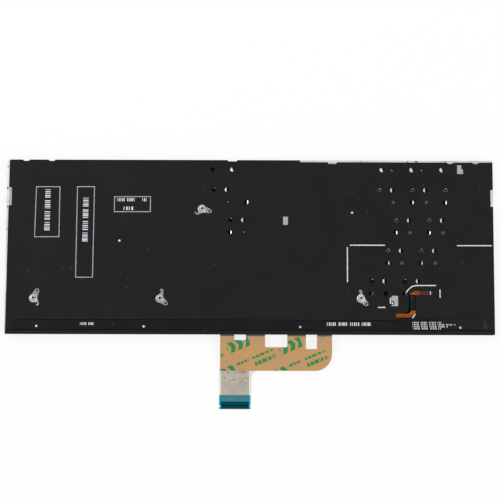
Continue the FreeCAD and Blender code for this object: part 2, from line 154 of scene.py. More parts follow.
# Lips beside them: sides in X, sides in Y, how much shorter they are on the keys at -X, and their rise
lips = {
    "upper": (2.9, 4.1, 2.2, 4.8, 0.5, 0.24), "lower": (-2.95, -2.4, -4.6, -2.7, 0.0, 0.2),
    "function": (-3.4, -2.2, 0.2, 1.7, 0.3, 0.2),
}
ring_place = (-3.05, 3.4)
ring_radius = 0.72
ring_wire = 0.12
ring_stretch = 1.4
stud_place = (4.9, -3.55)
function_stud_place = (3.25, 0.9)
stud_profile = [(1.2, 0.0), (1.2, 0.4), (1.0, 0.5), (0.6, 0.56), (0.1, 0.58)]
pin_profile = [(1.0, 0.0), (1.0, 0.25), (0.9, 0.36), (0.6, 0.42), (0.1, 0.44)]

# Edges of the plate and the film. Cutters reach past the edge that they open.
corner_radius = 0.9
notch_x = (-13.2, -6.9)
notch_depth = 1.2
notch_taper = 0.9
cutter_reach = 1.0
scallop_radius = 2.9
plate_scallops = [(-129.0, 2.0), (-114.2, 2.0)]
film_scallops = plate_scallops + [(115.5, 0.9), (130.2, 0.9)]
film_step_x = 28.9
film_step = 1.1
film_notch_x = (44.5, 50.8)
film_notch_depth = 1.0
film_left_x = (-139.4, -138.6)
edge_openings = [(138.5, 142.0, 44.6, 54.5, 0.5), (-142.0, -137.0, 44.8, 55.3, 0.5)]

# Dark ticks on the bare edges: where each starts, and its length along the edge
top_ticks = [(90.6, 0.8), (95.2, 1.6), (64.0, 0.5), (112.5, 0.6)]
left_ticks = [(67.0, 0.8), (54.0, 1.4), (43.6, 0.9), (31.0, 0.5)]
left_tick_x = (-139.8, -139.2)
top_tick_inset = (0.9, 0.35)
tick_thickness = 0.03
# Thickness of the painted highlight on the bare top edge
highlight_thickness = 0.01

# Latch beside the lower window: a tab, and a dark ring and a bright dot by their radius and height
latch_tab = (80.1, 80.9, -11.3, -7.8, 0.2, 3)
latch_thickness = 0.2
latch_ring = (81.75, -10.8)
latch_ring_profile = [(1.0, 0.0), (1.0, 0.03), (0.9, 0.05)]
latch_dot = (81.6, -10.95)
latch_dot_profile = [(0.42, 0.04), (0.42, 0.3), (0.25, 0.4)]

# Openings of the film, by the key that they lie over: sides of the upper and of the lower pair
film_holes = {
    "1": ((-1,), (-1,)), "2": ((-1, 1), (-1, 1)), "3": ((-1, 1), (1,)), "7": ((), (-1,)),
    "8": ((-1, 1), (1,)), "q": ((-1, 1), (-1, 1)), "w": ((-1, 1), (-1, 1)), "u": ((-1, 1), (-1, 1)),
    "a": ((-1, 1), (-1, 1)), "s": ((-1, 1), (-1, 1)), "z": ((-1, 1), (-1,)), "x": ((-1, 1), (-1, 1)),
    "function_1": ((-1,), ()), "function_2": ((-1, 1), ()), "function_3": ((-1, 1), ()),
    "function_8": ((-1,), ()), "function_9": ((1,), ()),
}
upper_holes = {-1: (-3.05, 3.5), 1: (4.3, 3.5)}
lower_holes = {-1: (-3.5, -3.6), 1: (4.95, -3.6)}
function_holes = {-1: (-2.55, 1.1), 1: (3.35, 1.1)}
pin_hole_radius = 0.75
pin_radius = 0.66
pin_places = [(-74.7, 24.5), (58.8, 41.0), (-121.5, -24.5), (-60.3, -24.6), (28.9, -24.7), (120.2, -24.8)]
film_windows = [(19.1, 22.0, 33.8, 38.6), (81.1, 84.9, -12.7, -6.7)]
stepped_window = [(119.5, 63.6), (123.0, 63.6), (123.0, 66.2), (122.1, 66.4), (122.1, 68.8), (119.5, 68.8)]

# Screw bosses
sleeve_radius = 1.4
bore_radius = 0.75
shank_radius = 1.4
shank_play = 0.15
bore_play = 0.3
thread_depth = 0.09
cup_radius = 2.3
cup_shift = -0.4
cup_profile = [
    (2.3, 0.0), (2.3, 0.35), (2.24, 0.62), (2.1, 0.8), (1.9, 0.85), (1.75, 0.8), (1.7, 0.45), (1.5, 0.42),
    (1.46, 1.0), (1.3, 1.25), (0.9, 1.3), (0.9, 0.0),
]
eyelet_radius = 1.25
eyelet_hole = 0.62
eyelet_bead = (0.95, 0.26, 0.18)
claw_half_width = 1.05
claw_taper = 0.82
claw_arch = 0.32
claw_thickness = 0.3
ball_radius = 0.38
ball_half_height = 0.34
claw_gap = 0.03
claw_root_radius = 0.6
flange_thickness = 0.4
sleeve_height = 1.7
bosses = [
    {"at": (-27.5, 43.3), "eyelet": (-23.2, 41.7),
     "claw": [(-28.2, 42.0), (-29.3, 40.4), (-30.3, 39.9), (-31.1, 40.3), (-31.4, 41.1)]},
    {"at": (-123.5, -8.3), "eyelet": (-121.4, -4.3),
     "claw": [(-122.4, -9.4), (-121.0, -10.7), (-120.4, -11.9), (-120.9, -12.5), (-121.7, -12.4)]},
    {"at": (-51.3, -8.3), "eyelet": (-47.9, -11.4),
     "claw": [(-50.9, -6.8), (-49.9, -5.2), (-49.6, -4.1), (-50.1, -3.4), (-50.8, -3.5), (-51.0, -4.2)]},
    {"at": (63.6, -8.0), "eyelet": (66.6, -11.4),
     "claw": [(63.4, -6.6), (63.7, -5.2), (63.9, -4.2), (63.4, -3.7), (62.8, -3.8), (62.7, -4.3)]},
]

# Space bar's wire: its middle runs just inside the box of the CAD wire
wire_radius = 0.3
wire_foot = 2.0
wire_bend = 0.8
wire_inset_y = (0.06, 0.04)
wire_inset_z = (0.05, 0.02)

# Tail
flap_x = (-16.7, 47.1)
flap_end_y = -49.6
flap_corner = 9.5
ribbon_x = (-17.2, 1.1)
ribbon_fillet = 4.0
tail_end_y = -71.4
tail_cutouts = [(-8.6, -2.0, -32.2), (8.9, 21.6, -36.2), (32.2, 38.5, -37.2)]
bend_y = -31.5
bend_radius = 40.0
bend_slope = math.radians(8)
liner_thickness = 0.12
nick_depth = 1.0
nick_y = 1.6

# Tape and flex: the tape's step, the patch's and the flex's sides, and outlines of the flex's two ends
tape_step = (85.3, -20.9)
patch_start = 24.0
patch_thickness = 0.03
long_groove = (-138.0, 139.0, -26.75, -26.4)
groove_start = 3.0
groove_width = 0.3
groove_thickness = 0.01
flex_lower = [
    (83.6, -18.95), (92.3, -18.95), (94.7, -16.2), (94.7, -15.2), (92.6, -15.2), (90.8, -17.05),
    (83.6, -17.05),
]
flex_upper = [(91.9, -6.2), (97.5, -6.2), (97.5, -4.0), (94.4, -4.0), (91.9, -5.4)]
flex_dark = (97.3, 103.2, -6.2, -4.0, 0.3)
flex_cover = (91.75, 94.5, -15.3, -6.0)
# Strips of painted shadow beside the black cover, thinner than the flex, and a painted shadow in the corner
# where the cover meets the lower end
flex_shades = [(91.0, 91.8, -15.3, -6.0), (94.35, 94.85, -15.3, -6.0)]
flex_shade_share = 0.6
flex_corner_shadow = [(91.8, -16.8), (91.8, -14.0)]
flex_corner_shadow_arc = (88.2, -14.0, 2.8)
flex_stroke = [(92.9, -19.4), (94.7, -17.0)]
flex_stroke_width = 0.55
flex_mark_rise = 0.04
flex_bar = (103.15, 103.6, -6.1, -4.1)
flex_red = (103.7, 104.8, -6.2, -4.1)

# Printed lines on the film: corners of frames, ends of strokes
printed_frames = [
    [(-123.5, 26.6), (-109.5, 26.7), (-109.4, 55.6), (-122.9, 55.6)],
    [(-99.6, 3.4), (-89.9, 3.4), (-89.5, 55.7), (-99.3, 55.65)],
    [(-77.9, 41.2), (-57.2, 41.3), (-57.2, 50.0), (-77.9, 49.9)],
]
printed_strokes = [
    ((57.5, 22.25), (77.6, 22.25)), ((56.0, 21.1), (56.0, 1.0)), ((118.9, 22.15), (138.8, 22.15)),
    ((108.85, -3.1), (108.85, -7.8)), ((73.3, -13.4), (77.5, -13.4)),
]
printed_curve = [
    (89.6, -4.8), (90.1, -4.0), (91.0, -3.0), (92.4, -1.7), (93.9, -1.05), (96.0, -0.8), (106.6, -0.8),
]
ink_thickness = 0.02
tape_ink_thickness = 0.05
frame_line_share = 0.34
stroke_share = 0.9

# Rows of bars printed where a real module carries its own lettering: ends of a row, height, pitch
film_bars = [
    ((-116.2, 54.0), (-116.5, 29.5), 3.1, 1.05), ((-94.3, 49.2), (-94.6, 23.0), 3.1, 1.12),
    ((-76.3, 48.2), (-65.4, 48.2), 1.9, 0.95), ((-61.8, 48.2), (-58.9, 48.2), 1.9, 0.95),
    ((-72.6, 43.2), (-65.2, 43.2), 2.0, 1.5),
]
tape_bars = [
    ((44.2, -23.0), (70.9, -23.0), 1.9, 1.1), ((-96.6, -23.1), (-88.2, -23.1), 1.5, 0.8),
    ((92.9, -22.0), (109.8, -22.0), 0.75, 0.8), ((92.9, -23.2), (118.5, -23.2), 0.75, 0.8),
    ((93.2, -24.4), (113.2, -24.4), 0.75, 0.8), ((93.4, -25.5), (109.9, -25.5), 0.75, 0.8),
]

# Camera, from the photograph
camera_lens = 85.0
camera_distance = 676.9
camera_tilt = 0.0895
camera_roll = 0.00276
camera_target = (0.185, 19.3, 4.5)
floor_z = -0.03
floor_half = 1500.0

# Soft lamps: place and size in metres, and power in watts
lamps = {
    "left_softbox": ((-0.9, 0.3, 0.9), (0.8, 0.8), 6.0),
    "right_softbox": ((0.9, -0.5, 0.8), (0.8, 0.8), 6.5),
    "back_softbox": ((0.0, 1.0, 0.7), (1.0, 0.5), 3.5),
}


def length_property(name, description, metres):
    """A length on the panel."""
    return FloatProperty(name=name, description=description, default=metres, unit="LENGTH")


def colour_property(name, description, *tone):
    """A colour on the panel."""
    return FloatVectorProperty(name=name, description=description, subtype="COLOR", default=tone)


class KeyboardSizes(bpy.types.PropertyGroup):
    film_hole: length_property("Film hole radius", "Radius of the round holes in the back film", 0.0013)
    cap_corner: length_property("Cap corner", "Radius of a key cap's corners in plan", 0.0013)
    cap_edge: length_property("Cap edge", "Radius of the edge round a key cap's top", 0.00035)
    cap_dish: length_property("Cap dish", "Depth of the hollow in a key cap's top", 0.00012)
    line_width: length_property("Line width", "Width of the lines printed on the film", 0.00065)
    thread_pitch: length_property("Thread pitch", "Pitch of the thread in the screw bosses", 0.0004)


class KeyboardColours(bpy.types.PropertyGroup):
    film: colour_property("Film", "Black film over the back", 0.0085, 0.0085, 0.0088)
    metal: colour_property("Metal", "Bare metal of the base plate", 0.58, 0.585, 0.6)
    cap: colour_property("Caps", "Moulded key caps", 0.018, 0.018, 0.02)
    legend: colour_property("Legends", "Legends on the key caps", 0.7, 0.72, 0.74)
    liner: colour_property("Liner", "Release paper on the tail", 0.58, 0.325, 0.125)
    liner_print: colour_property("Liner print", "Marks printed on the release paper", 0.03, 0.23, 0.07)
    ribbon: colour_property("Ribbon", "Printed conductors of the tail", 0.55, 0.50, 0.42)
    stiffener: colour_property("Stiffener", "Blue backing of the contact end", 0.0, 0.29, 0.49)
    flex: colour_property("Flex", "Amber circuit that feeds the backlight", 0.27, 0.065, 0.004)


def length_of(name):
    """One of the panel's lengths, in millimetres."""
    return getattr(bpy.context.scene.keyboard_sizes, name) / mm


def colour_of(name):
    """A colour of the panel or one of the fixed tones, with full alpha."""
    panel = bpy.context.scene.keyboard_colours
    return (*(tones[name] if name in tones else getattr(panel, name)), 1.0)


# Points and faces

def facing_out(points, blocks):
    """The blocks of faces, turned over if the volume that they enclose is negative."""
    volume = 0.0
    for block in blocks:
        for k in range(1, block.shape[1] - 1):
            a, b, c = points[block[:, 0]], points[block[:, k]], points[block[:, k + 1]]
            volume += np.einsum("ij,ij->", a, np.cross(b, c))
    return blocks if volume > 0 else [block[:, ::-1] for block in blocks]


def skin(rings, closed=False):
    """Closed surface through rings of equal numbers of points. Each ring joins its neighbour by quads,
    and the first and last ring are filled from their own centres unless the rings close on themselves."""
    m, n = rings.shape[:2]
    row = np.arange(m if closed else m - 1)[:, None]
    column = np.arange(n)
    above = (row + 1) % m
    beside = (column + 1) % n
    quads = np.stack([row * n + column, row * n + beside, above * n + beside, above * n + column], axis=-1)
    points = rings.reshape(-1, 3)
    blocks = [quads.reshape(-1, 4)]
    if not closed:
        points = np.concatenate([points, rings[[0, -1]].mean(axis=1)])
        last = (m - 1) * n
        blocks.append(np.stack([np.full(n, m * n), beside, column], axis=-1))
        blocks.append(np.stack([np.full(n, m * n + 1), last + column, last + beside], axis=-1))
    return points, facing_out(points, blocks)


def arc(x, y, radius, start, end, steps=12):
    """Points of a circular arc between two angles in degrees."""
    angle = np.radians(np.linspace(start, end, steps))
    return np.stack([x + radius * np.cos(angle), y + radius * np.sin(angle)], axis=-1)


def circle(x, y, radius, steps=28):
    """Points of a circle, without the repeated last one."""
    return arc(x, y, radius, 0, 360, steps + 1)[:-1]


def box(x0, x1, y0, y1):
    """Corners of a rectangle, anticlockwise."""
    return np.array([(x0, y0), (x1, y0), (x1, y1), (x0, y1)], float)


def round_box(x0, x1, y0, y1, radius, steps=6):
    """Rectangle with rounded corners."""
    corners = [(x0, y0, 180), (x1, y0, 270), (x1, y1, 0), (x0, y1, 90)]
    middle_x, middle_y = (x0 + x1) / 2, (y0 + y1) / 2
    arcs = []
    for x, y, start in corners:
        cx = x + math.copysign(radius, middle_x - x)
        cy = y + math.copysign(radius, middle_y - y)
        arcs.append(arc(cx, cy, radius, start, start + 90, steps))
    return np.concatenate(arcs)


def stroke(line, width):
    """Outline of a strip of constant width along a line: each point moves along the mean of its neighbours'
    normals, by half the width over the cosine of half the turn."""
    line = np.asarray(line, float)
    step = np.diff(line, axis=0)
    step /= np.linalg.norm(step, axis=1)[:, None]
    before = np.concatenate([step[:1], step])
    after = np.concatenate([step, step[-1:]])
    normal = np.stack([-(before + after)[:, 1], (before + after)[:, 0]], axis=-1)
    reach = width / (1 + (before * after).sum(axis=1)) / 2
    return np.concatenate([line - normal * reach[:, None], (line + normal * reach[:, None])[::-1]])


def link(a, radius_a, b, radius_b):
    """Outline round two circles, like a belt: the tangents meet both circles at the angle whose cosine is
    the difference of the radii over the distance."""
    (ax, ay), (bx, by) = a, b
    heading = math.degrees(math.atan2(by - ay, bx - ax))
    spread = math.degrees(math.acos((radius_a - radius_b) / math.hypot(bx - ax, by - ay)))
    big = arc(ax, ay, radius_a, heading + spread, heading + 360 - spread, 20)
    small = arc(bx, by, radius_b, heading - spread, heading + spread, 12)
    return np.concatenate([big, small])


def filled(solids, holes, stations=()):
    """Triangles of the union of the solids less the holes, from a constrained triangulation of all their
    outlines. Extra cuts along the stations' y let the sheet bend there."""
    points, faces, edges = [], [], []
    for loop in list(solids) + list(holes):
        x, y = loop.T
        turned = (x * np.roll(y, -1) - np.roll(x, -1) * y).sum() < 0
        faces.append(list(range(len(points), len(points) + len(loop))))
        points += [Vector(p) for p in (loop[::-1] if turned else loop)]
    for y in stations:
        edges.append((len(points), len(points) + 1))
        points += [Vector((-edge_x, y)), Vector((edge_x, y))]
    found = delaunay_2d_cdt(points, edges, faces, 0, 1e-4)
    triangles = []
    for triangle, owners in zip(found[2], found[5]):
        if owners and max(owners) < len(solids):
            triangles.append(triangle)
    used, triangles = np.unique(np.array(triangles), return_inverse=True)
    return np.array([p[:] for p in found[0]])[used], triangles.reshape(-1, 3)


def sheet(solids, holes, z, thickness, stations=(), rise=None):
    """Closed flat sheet on a filled outline. Its two faces are the same triangles at two heights, plus the
    rise at each point's y, and the walls stand on the edges that only one triangle has."""
    xy, triangles = filled(solids, holes, stations)
    n = len(xy)
    edges = triangles[:, [0, 1, 1, 2, 2, 0]].reshape(-1, 2)
    there, back = edges @ (n, 1), edges @ (1, n)
    rim = edges[~np.isin(there, back)]
    walls = np.stack([rim[:, 0], rim[:, 1], rim[:, 1] + n, rim[:, 0] + n], axis=-1)
    low = z + (rise(xy[:, 1]) if rise else np.zeros(n))
    points = np.concatenate([np.column_stack([xy, low]), np.column_stack([xy, low + thickness])])
    return points, [triangles[:, ::-1], triangles + n, walls]


def turns(steps):
    """Equal steps round a full turn, without the repeated last one."""
    return np.linspace(0, 2 * np.pi, steps, endpoint=False)


def headings(path):
    """Unit direction at each point of a path."""
    steps = np.gradient(path, axis=0)
    return steps / np.linalg.norm(steps, axis=1)[:, None]


def revolved(radii, heights, x, y, steps=32, closed=False):
    """Surface of revolution about a vertical axis: a ring of points at each radius and height."""
    angle = turns(steps)
    radii = np.broadcast_to(np.asarray(radii, float).reshape(len(heights), -1), (len(heights), steps))
    z = np.broadcast_to(np.asarray(heights, float)[:, None], radii.shape)
    return skin(np.stack([x + radii * np.cos(angle), y + radii * np.sin(angle), z], axis=-1), closed)


def turned_head(profile, x, y, base, size=1.0, steps=18):
    """Small turned part from pairs of radius, times the size, and height over its base."""
    radii, heights = np.array(profile).T
    return revolved(radii * size, base + heights, x, y, steps)


def bead(radius, half_width, half_height, x, y, z, steps, sides):
    """Ring of oval section about a vertical axis."""
    angle = turns(sides)
    return revolved(radius + half_width * np.cos(angle), z + half_height * np.sin(angle), x, y, steps, True)


def slab(solids, holes, low, high):
    """Flat sheet between the heights of two corners."""
    return sheet(solids, holes, low[2], high[2] - low[2])


def round_rings(half_width, half_depth, radius, steps=6):
    """Rings of rounded rectangles about the origin: in each corner a quarter circle about the corner's own
    centre, which is the half size less the radius. One ring for each entry of the three arrays."""
    angle = (np.arange(4)[:, None] * np.pi / 2 + np.linspace(0, np.pi / 2, steps)).ravel()
    side_x = np.repeat([1, -1, -1, 1], steps)
    side_y = np.repeat([1, 1, -1, -1], steps)
    x = (half_width - radius)[:, None] * side_x + radius[:, None] * np.cos(angle)
    y = (half_depth - radius)[:, None] * side_y + radius[:, None] * np.sin(angle)
    return x, y


def swept(path, across, section):
    """Closed tube: a section of (a, b) points is carried along a path that lies in one plane. a is measured
    along the plane's normal and b along the normal's cross product with the path's direction."""
    upward = np.cross(headings(path), across)
    a, b = section.T
    return skin(path[:, None, :] + a[:, None] * across + b[:, None] * upward[:, None, :])


# Shared shader groups

def add(tree, kind, inputs=None, **settings):
    """A node with its settings, and each input set to a value or linked to a socket."""
    node = tree.nodes.new(kind)
    for name, value in settings.items():
        setattr(node, name, value)
    for name, value in (inputs or {}).items():
        socket = node.inputs[name]
        if isinstance(value, bpy.types.NodeSocket):
            tree.links.new(value, socket)
        else:
            socket.default_value = value
    return node


def math_node(tree, operation, *values):
    """Output of a Math node."""
    return add(tree, "ShaderNodeMath", dict(enumerate(values)), operation=operation).outputs[0]


def mixed(tree, factor, a, b):
    """Colour mixed from a to b. Each is a socket, a colour or the name of one."""
    a, b = [colour_of(value) if isinstance(value, str) else value for value in (a, b)]
    return add(tree, "ShaderNodeMix", {0: factor, 6: a, 7: b}, data_type="RGBA").outputs[2]


def glazed(tree, mask, share, below, colour):
    """A colour that covers the one below by a share where the mask is 1."""
    return mixed(tree, math_node(tree, "MULTIPLY", mask, share), below, colour)


def noise(tree, place, scale, detail):
    """Output of a noise texture."""
    return add(tree, "ShaderNodeTexNoise", {"Vector": place, "Scale": scale, "Detail": detail}).outputs["Fac"]


def ramp(tree, value, low, high):
    """A value that runs from 0 to 1 between two limits."""
    return add(tree, "ShaderNodeMapRange", {"Value": value, "From Min": low, "From Max": high}).outputs[0]


def new_group(name, inputs, *outputs):
    """Empty node group: an input whose value is None is a vector, and all other sockets are floats. Returns
    the group and the sockets inside it that give its inputs and take its outputs."""
    group = bpy.data.node_groups.new(name, "ShaderNodeTree")
    for label, value in inputs.items():
        kind = "NodeSocketVector" if value is None else "NodeSocketFloat"
        socket = group.interface.new_socket(label, in_out="INPUT", socket_type=kind)
        if value is not None:
            socket.default_value = value
    for label in outputs:
        group.interface.new_socket(label, in_out="OUTPUT", socket_type="NodeSocketFloat")
    return group, group.nodes.new("NodeGroupInput").outputs, group.nodes.new("NodeGroupOutput").inputs


def make_grain():
    """Fine surface grain: two octaves of noise, as a height and as a patchy mask."""
    inputs = {"Vector": None, "Scale": 2000.0, "Patch Scale": 60.0}
    group, given, result = new_group("surface_grain", inputs, "Height", "Patches")
    fine = noise(group, given["Vector"], given["Scale"], 3.0)
    wide = noise(group, given["Vector"], given["Patch Scale"], 4.0)
    group.links.new(fine, result["Height"])
    group.links.new(ramp(group, wide, 0.35, 0.65), result["Patches"])
    return group


def make_specks():
    """Sparse specks of dust or print: cells of a Voronoi pattern whose own random value passes the amount."""
    inputs = {"Vector": None, "Scale": 500.0, "Amount": 0.05, "Size": 0.3}
    group, given, result = new_group("specks", inputs, "Mask")
    cells = add(group, "ShaderNodeTexVoronoi", {"Vector": given["Vector"], "Scale": given["Scale"]})
    colour = add(group, "ShaderNodeSeparateColor", {"Color": cells.outputs["Color"]})
    chosen = math_node(group, "LESS_THAN", colour.outputs[0], given["Amount"])
    near = math_node(group, "LESS_THAN", cells.outputs["Distance"], given["Size"])
    group.links.new(math_node(group, "MULTIPLY", chosen, near), result["Mask"])
    return group


def make_band():
    """Soft band: 1 where the value lies between two limits, falling to 0 over the softness."""
    inputs = {"Value": 0.0, "Low": 0.0, "High": 1.0, "Softness": 0.0002}
    group, given, result = new_group("band", inputs, "Mask")
    over_low = math_node(group, "SUBTRACT", given["Value"], given["Low"])
    under_high = math_node(group, "SUBTRACT", given["High"], given["Value"])
    rise = math_node(group, "DIVIDE", over_low, given["Softness"])
    fall = math_node(group, "DIVIDE", under_high, given["Softness"])
    inside = math_node(group, "MINIMUM", rise, fall)
    clamped = add(group, "ShaderNodeClamp", {"Value": math_node(group, "ADD", inside, 0.5)})
    group.links.new(clamped.outputs[0], result["Mask"])
    return group


def make_rolled():
    """Rolling lines of sheet metal: noise stretched along X, with slow patches under it."""
    group, given, result = new_group("rolled_metal", {"Vector": None, "Scale": 900.0}, "Lines", "Stain")
    stretch = {0: given["Vector"], 1: (0.04, 1.0, 1.0)}
    stretched = add(group, "ShaderNodeVectorMath", stretch, operation="MULTIPLY").outputs[0]
    group.links.new(noise(group, stretched, given["Scale"], 4.0), result["Lines"])
    group.links.new(noise(group, given["Vector"], 90.0, 5.0), result["Stain"])
    return group


group_makers = {
    "surface_grain": make_grain, "specks": make_specks, "band": make_band, "rolled_metal": make_rolled,
}


def use_group(tree, name, **inputs):
    """A shared group placed in a material, with its inputs set or linked. The group is built once."""
    group = bpy.data.node_groups.get(name) or group_makers[name]()
    given = {label.replace("_", " "): value for label, value in inputs.items()}
    return add(tree, "ShaderNodeGroup", given, node_tree=group).outputs


def grain_of(tree, place, scale, patch_scale):
    """Fine height and slow patches of a surface. The scales are per metre."""
    return use_group(tree, "surface_grain", Vector=place, Scale=scale, Patch_Scale=patch_scale)


def specks_of(tree, place, scale, amount, size):
    """Mask of scattered specks."""
    return use_group(tree, "specks", Vector=place, Scale=scale, Amount=amount, Size=size)["Mask"]


def band(tree, value, low, high, softness):
    """Mask that is 1 where the value lies between two limits."""
    return use_group(tree, "band", Value=value, Low=low, High=high, Softness=softness)["Mask"]


def axes_of(tree, place):
    """X, Y and Z of a position, in metres."""
    return add(tree, "ShaderNodeSeparateXYZ", {0: place}).outputs


# Materials

# Tones that the panel doesn't offer: red, green and blue
tones = {
    "tape": (0.0065, 0.0065, 0.007), "patch": (0.0085, 0.009, 0.0115), "mottle": (0.028, 0.031, 0.042),
    "stud": (0.05, 0.054, 0.062), "black": (0.0018, 0.0018, 0.002), "dust": (0.12, 0.12, 0.12),
    "dark_flex": (0.05, 0.021, 0.018), "red_end": (0.07, 0.007, 0.007), "frame": (0.62, 0.62, 0.60),
    "silicone": (0.55, 0.55, 0.53), "steel": (0.31, 0.31, 0.30), "bright_steel": (0.64, 0.64, 0.63),
    "ring": (0.2, 0.2, 0.2), "wire": (0.55, 0.55, 0.56), "guide": (0.50, 0.51, 0.52),
    "guide_dot": (0.72, 0.73, 0.74), "ink": (0.82, 0.85, 0.88), "thin_ink": (0.62, 0.66, 0.71),
    "faded_ink": (0.46, 0.51, 0.56), "thin_faded_ink": (0.31, 0.35, 0.39), "thin_legend": (0.6, 0.62, 0.64),
    "pale_flex": (0.45, 0.095, 0.002), "copper": (0.09, 0.025, 0.008), "dim_liner": (0.53, 0.30, 0.12),
    "pink_liner": (0.53, 0.30, 0.16), "shaded_liner": (0.48, 0.28, 0.17), "contact_shadow": (0.05, 0.03, 0.02),
    "dim_ribbon": (0.47, 0.42, 0.35), "conductor": (0.32, 0.30, 0.27), "adhesive": (0.05, 0.045, 0.04),
    "carbon": (0.03, 0.03, 0.033), "clear_film": (0.78, 0.77, 0.74), "clear_flap": (0.55, 0.42, 0.27),
    "ribbon_edge": (0.25, 0.23, 0.2), "window_shade_black": (0.0012, 0.0012, 0.0014), "slate": (0.055, 0.195, 0.25),
    "pale_slate": (0.07, 0.22, 0.28), "deep_slate": (0.0, 0.066, 0.083), "cut_line": (0.0, 0.003, 0.005),
    "white": (1.0, 1.0, 1.0),
}

# Plastics: colour, the paler tone's ratio, roughness, grain per metre, amount of dust, specular level
plastics = {
    "black_film": ("film", 1.2, 0.5, 2400.0, 0.006, 0.1),
    "black_tape": ("tape", 1.3, 0.42, 1500.0, 0.005, 0.08),
    "dark_stud": ("stud", 1.4, 0.6, 1500.0, 0.0, 0.3),
    "deep_black": ("black", 1.2, 0.7, 1500.0, 0.0, 0.0),
    "dark_flex": ("dark_flex", 1.6, 0.4, 1500.0, 0.0, 0.1),
    "red_end": ("red_end", 1.4, 0.45, 1500.0, 0.0, 0.1),
    "key_plastic": ("cap", 1.15, 0.5, 3000.0, 0.004, 0.4),
    "frame_plastic": ("frame", 1.1, 0.45, 1800.0, 0.0, 0.5),
    "dome_rubber": ("silicone", 1.12, 0.55, 1500.0, 0.0, 0.5),
}

# Metals: colour and roughness
metals = {
    "stamped_plate": ("metal", 0.34), "plated_steel": ("steel", 0.24), "bright_steel": ("bright_steel", 0.2),
    "ring_steel": ("ring", 0.5), "wire_steel": ("wire", 0.22),
}

# Inks: full and thin colour, and the scales of their grain
inks = {
    "printed_line": ("ink", "thin_ink", 1800.0, 500.0),
    "faded_line": ("faded_ink", "thin_faded_ink", 1800.0, 500.0),
    "legend_ink": ("legend", "thin_legend", 3000.0, 600.0),
}

# Bands of colour, in metres: lower and upper limit, and softness. Some limits lie past the sheet's edge.
bands = {
    "patch_end": (0.1332, 0.1362, 0.0012),
    "lower_flex_line": (-0.01835, -0.01795, 0.00015),
    "upper_flex_line": (-0.005, -0.0046, 0.00015),
    "liner_lanes": (0.0038, 0.0092, 0.0007),
    "liner_shade": (-0.0342, -0.02, 0.0003),
    "liner_contact_shadow": (-0.0299, -0.02, 0.0004),
    "flap": (-0.0488, 0.0, 0.0003),
    "upper_adhesive": (-0.0515, -0.0495, 0.001),
    "lower_adhesive": (-0.0575, -0.0535, 0.001),
    "conductors": (-0.0161, -0.0003, 0.0002),
    "left_edge": (-0.0161, -0.0159, 0.0001),
    "right_edge": (-0.0005, -0.0003, 0.0001),
    "pads": (-0.08, -0.0668, 0.0001),
    "under_plate_shade": (-0.0292, 0.2, 0.0002),
    "stiffener_end": (-0.08, -0.0671, 0.0003),
    "stiffener_line": (-0.0697, -0.0692, 0.0002),
}

liner_corner = (0.0335, -0.0375)
print_turn = math.radians(-23)
conductor_pitch = 0.0008
floor_glow = 0.82
world_light = 0.42


def new_material(name, **values):
    """A material with its Principled shader: returns the material, its tree and the object coordinates. A
    value is one of the shader's own sockets, written with underscores."""
    material = bpy.data.materials.new(name + "_finish")
    material.use_nodes = True
    tree = material.node_tree
    for label, value in values.items():
        shader_inputs(tree)[label.replace("_", " ")].default_value = value
    return material, tree, add(tree, "ShaderNodeTexCoord").outputs["Object"]


def shader_inputs(tree):
    """Inputs of a material's Principled shader."""
    return tree.nodes["Principled BSDF"].inputs


def painted(tree, tone):
    """The tone becomes the material's colour."""
    tree.links.new(tone, shader_inputs(tree)["Base Color"])


def roughened(tree, grain, base, spread):
    """Roughness that moves with a grain mask about its base."""
    value = math_node(tree, "MULTIPLY_ADD", grain, spread, base - spread / 2)
    tree.links.new(value, shader_inputs(tree)["Roughness"])


def bumped(tree, height, distance, strength):
    """Bump from a height that is 0 to 1, over a distance in metres."""
    node = add(tree, "ShaderNodeBump", {"Height": height, "Distance": distance, "Strength": strength})
    tree.links.new(node.outputs[0], shader_inputs(tree)["Normal"])


def make_plastic(name, colour, lift, roughness, scale, dust, level):
    """Plastic with a fine grain, slightly uneven colour, and dust if any."""
    material, tree, place = new_material(name, Specular_IOR_Level=level)
    grain = grain_of(tree, place, scale, scale / 40)
    paler = [min(part * lift, 1.0) for part in colour_of(colour)]
    tone = mixed(tree, grain["Patches"], colour, paler)
    if dust:
        tone = mixed(tree, specks_of(tree, place, 900.0, dust, 0.22), tone, "dust")
    painted(tree, tone)
    roughened(tree, grain["Patches"], roughness, 0.1)
    bumped(tree, grain["Height"], 0.000012, 0.5)
    return material


def make_metal(name, colour, roughness):
    """Rolled sheet metal: streaks along X, light stains, satin."""
    material, tree, place = new_material(name, Metallic=1.0)
    rolled = use_group(tree, "rolled_metal", Vector=place)
    dull = (*[part * 0.8 for part in colour_of(colour)[:3]], 1.0)
    painted(tree, mixed(tree, ramp(tree, rolled["Stain"], 0.4, 0.65), colour, dull))
    roughened(tree, rolled["Lines"], roughness, 0.2)
    bumped(tree, rolled["Lines"], 0.000015, 0.4)
    return material


def make_ink(name, colour, thin, scale, patch_scale):
    """Printed ink, thin enough in places for the ground to show."""
    material, tree, place = new_material(name, Roughness=0.5)
    painted(tree, mixed(tree, grain_of(tree, place, scale, patch_scale)["Patches"], colour, thin))
    return material


def make_dome(name, *values):
    """Milky silicone."""
    material = make_plastic(name, *values)
    inputs = shader_inputs(material.node_tree)
    inputs["Subsurface Weight"].default_value = 0.2
    inputs["Subsurface Scale"].default_value = 0.0005
    return material


def make_patch(name):
    """Bluish glossy patch of the tape, mottled towards its far end."""
    material, tree, place = new_material(name, Specular_IOR_Level=0.12)
    grain = grain_of(tree, place, 900.0, 220.0)
    end = band(tree, axes_of(tree, place)["X"], *bands["patch_end"])
    painted(tree, glazed(tree, grain["Patches"], end, "patch", "mottle"))
    roughened(tree, grain["Patches"], 0.3, 0.14)
    bumped(tree, grain["Height"], 0.00002, 0.4)
    return material


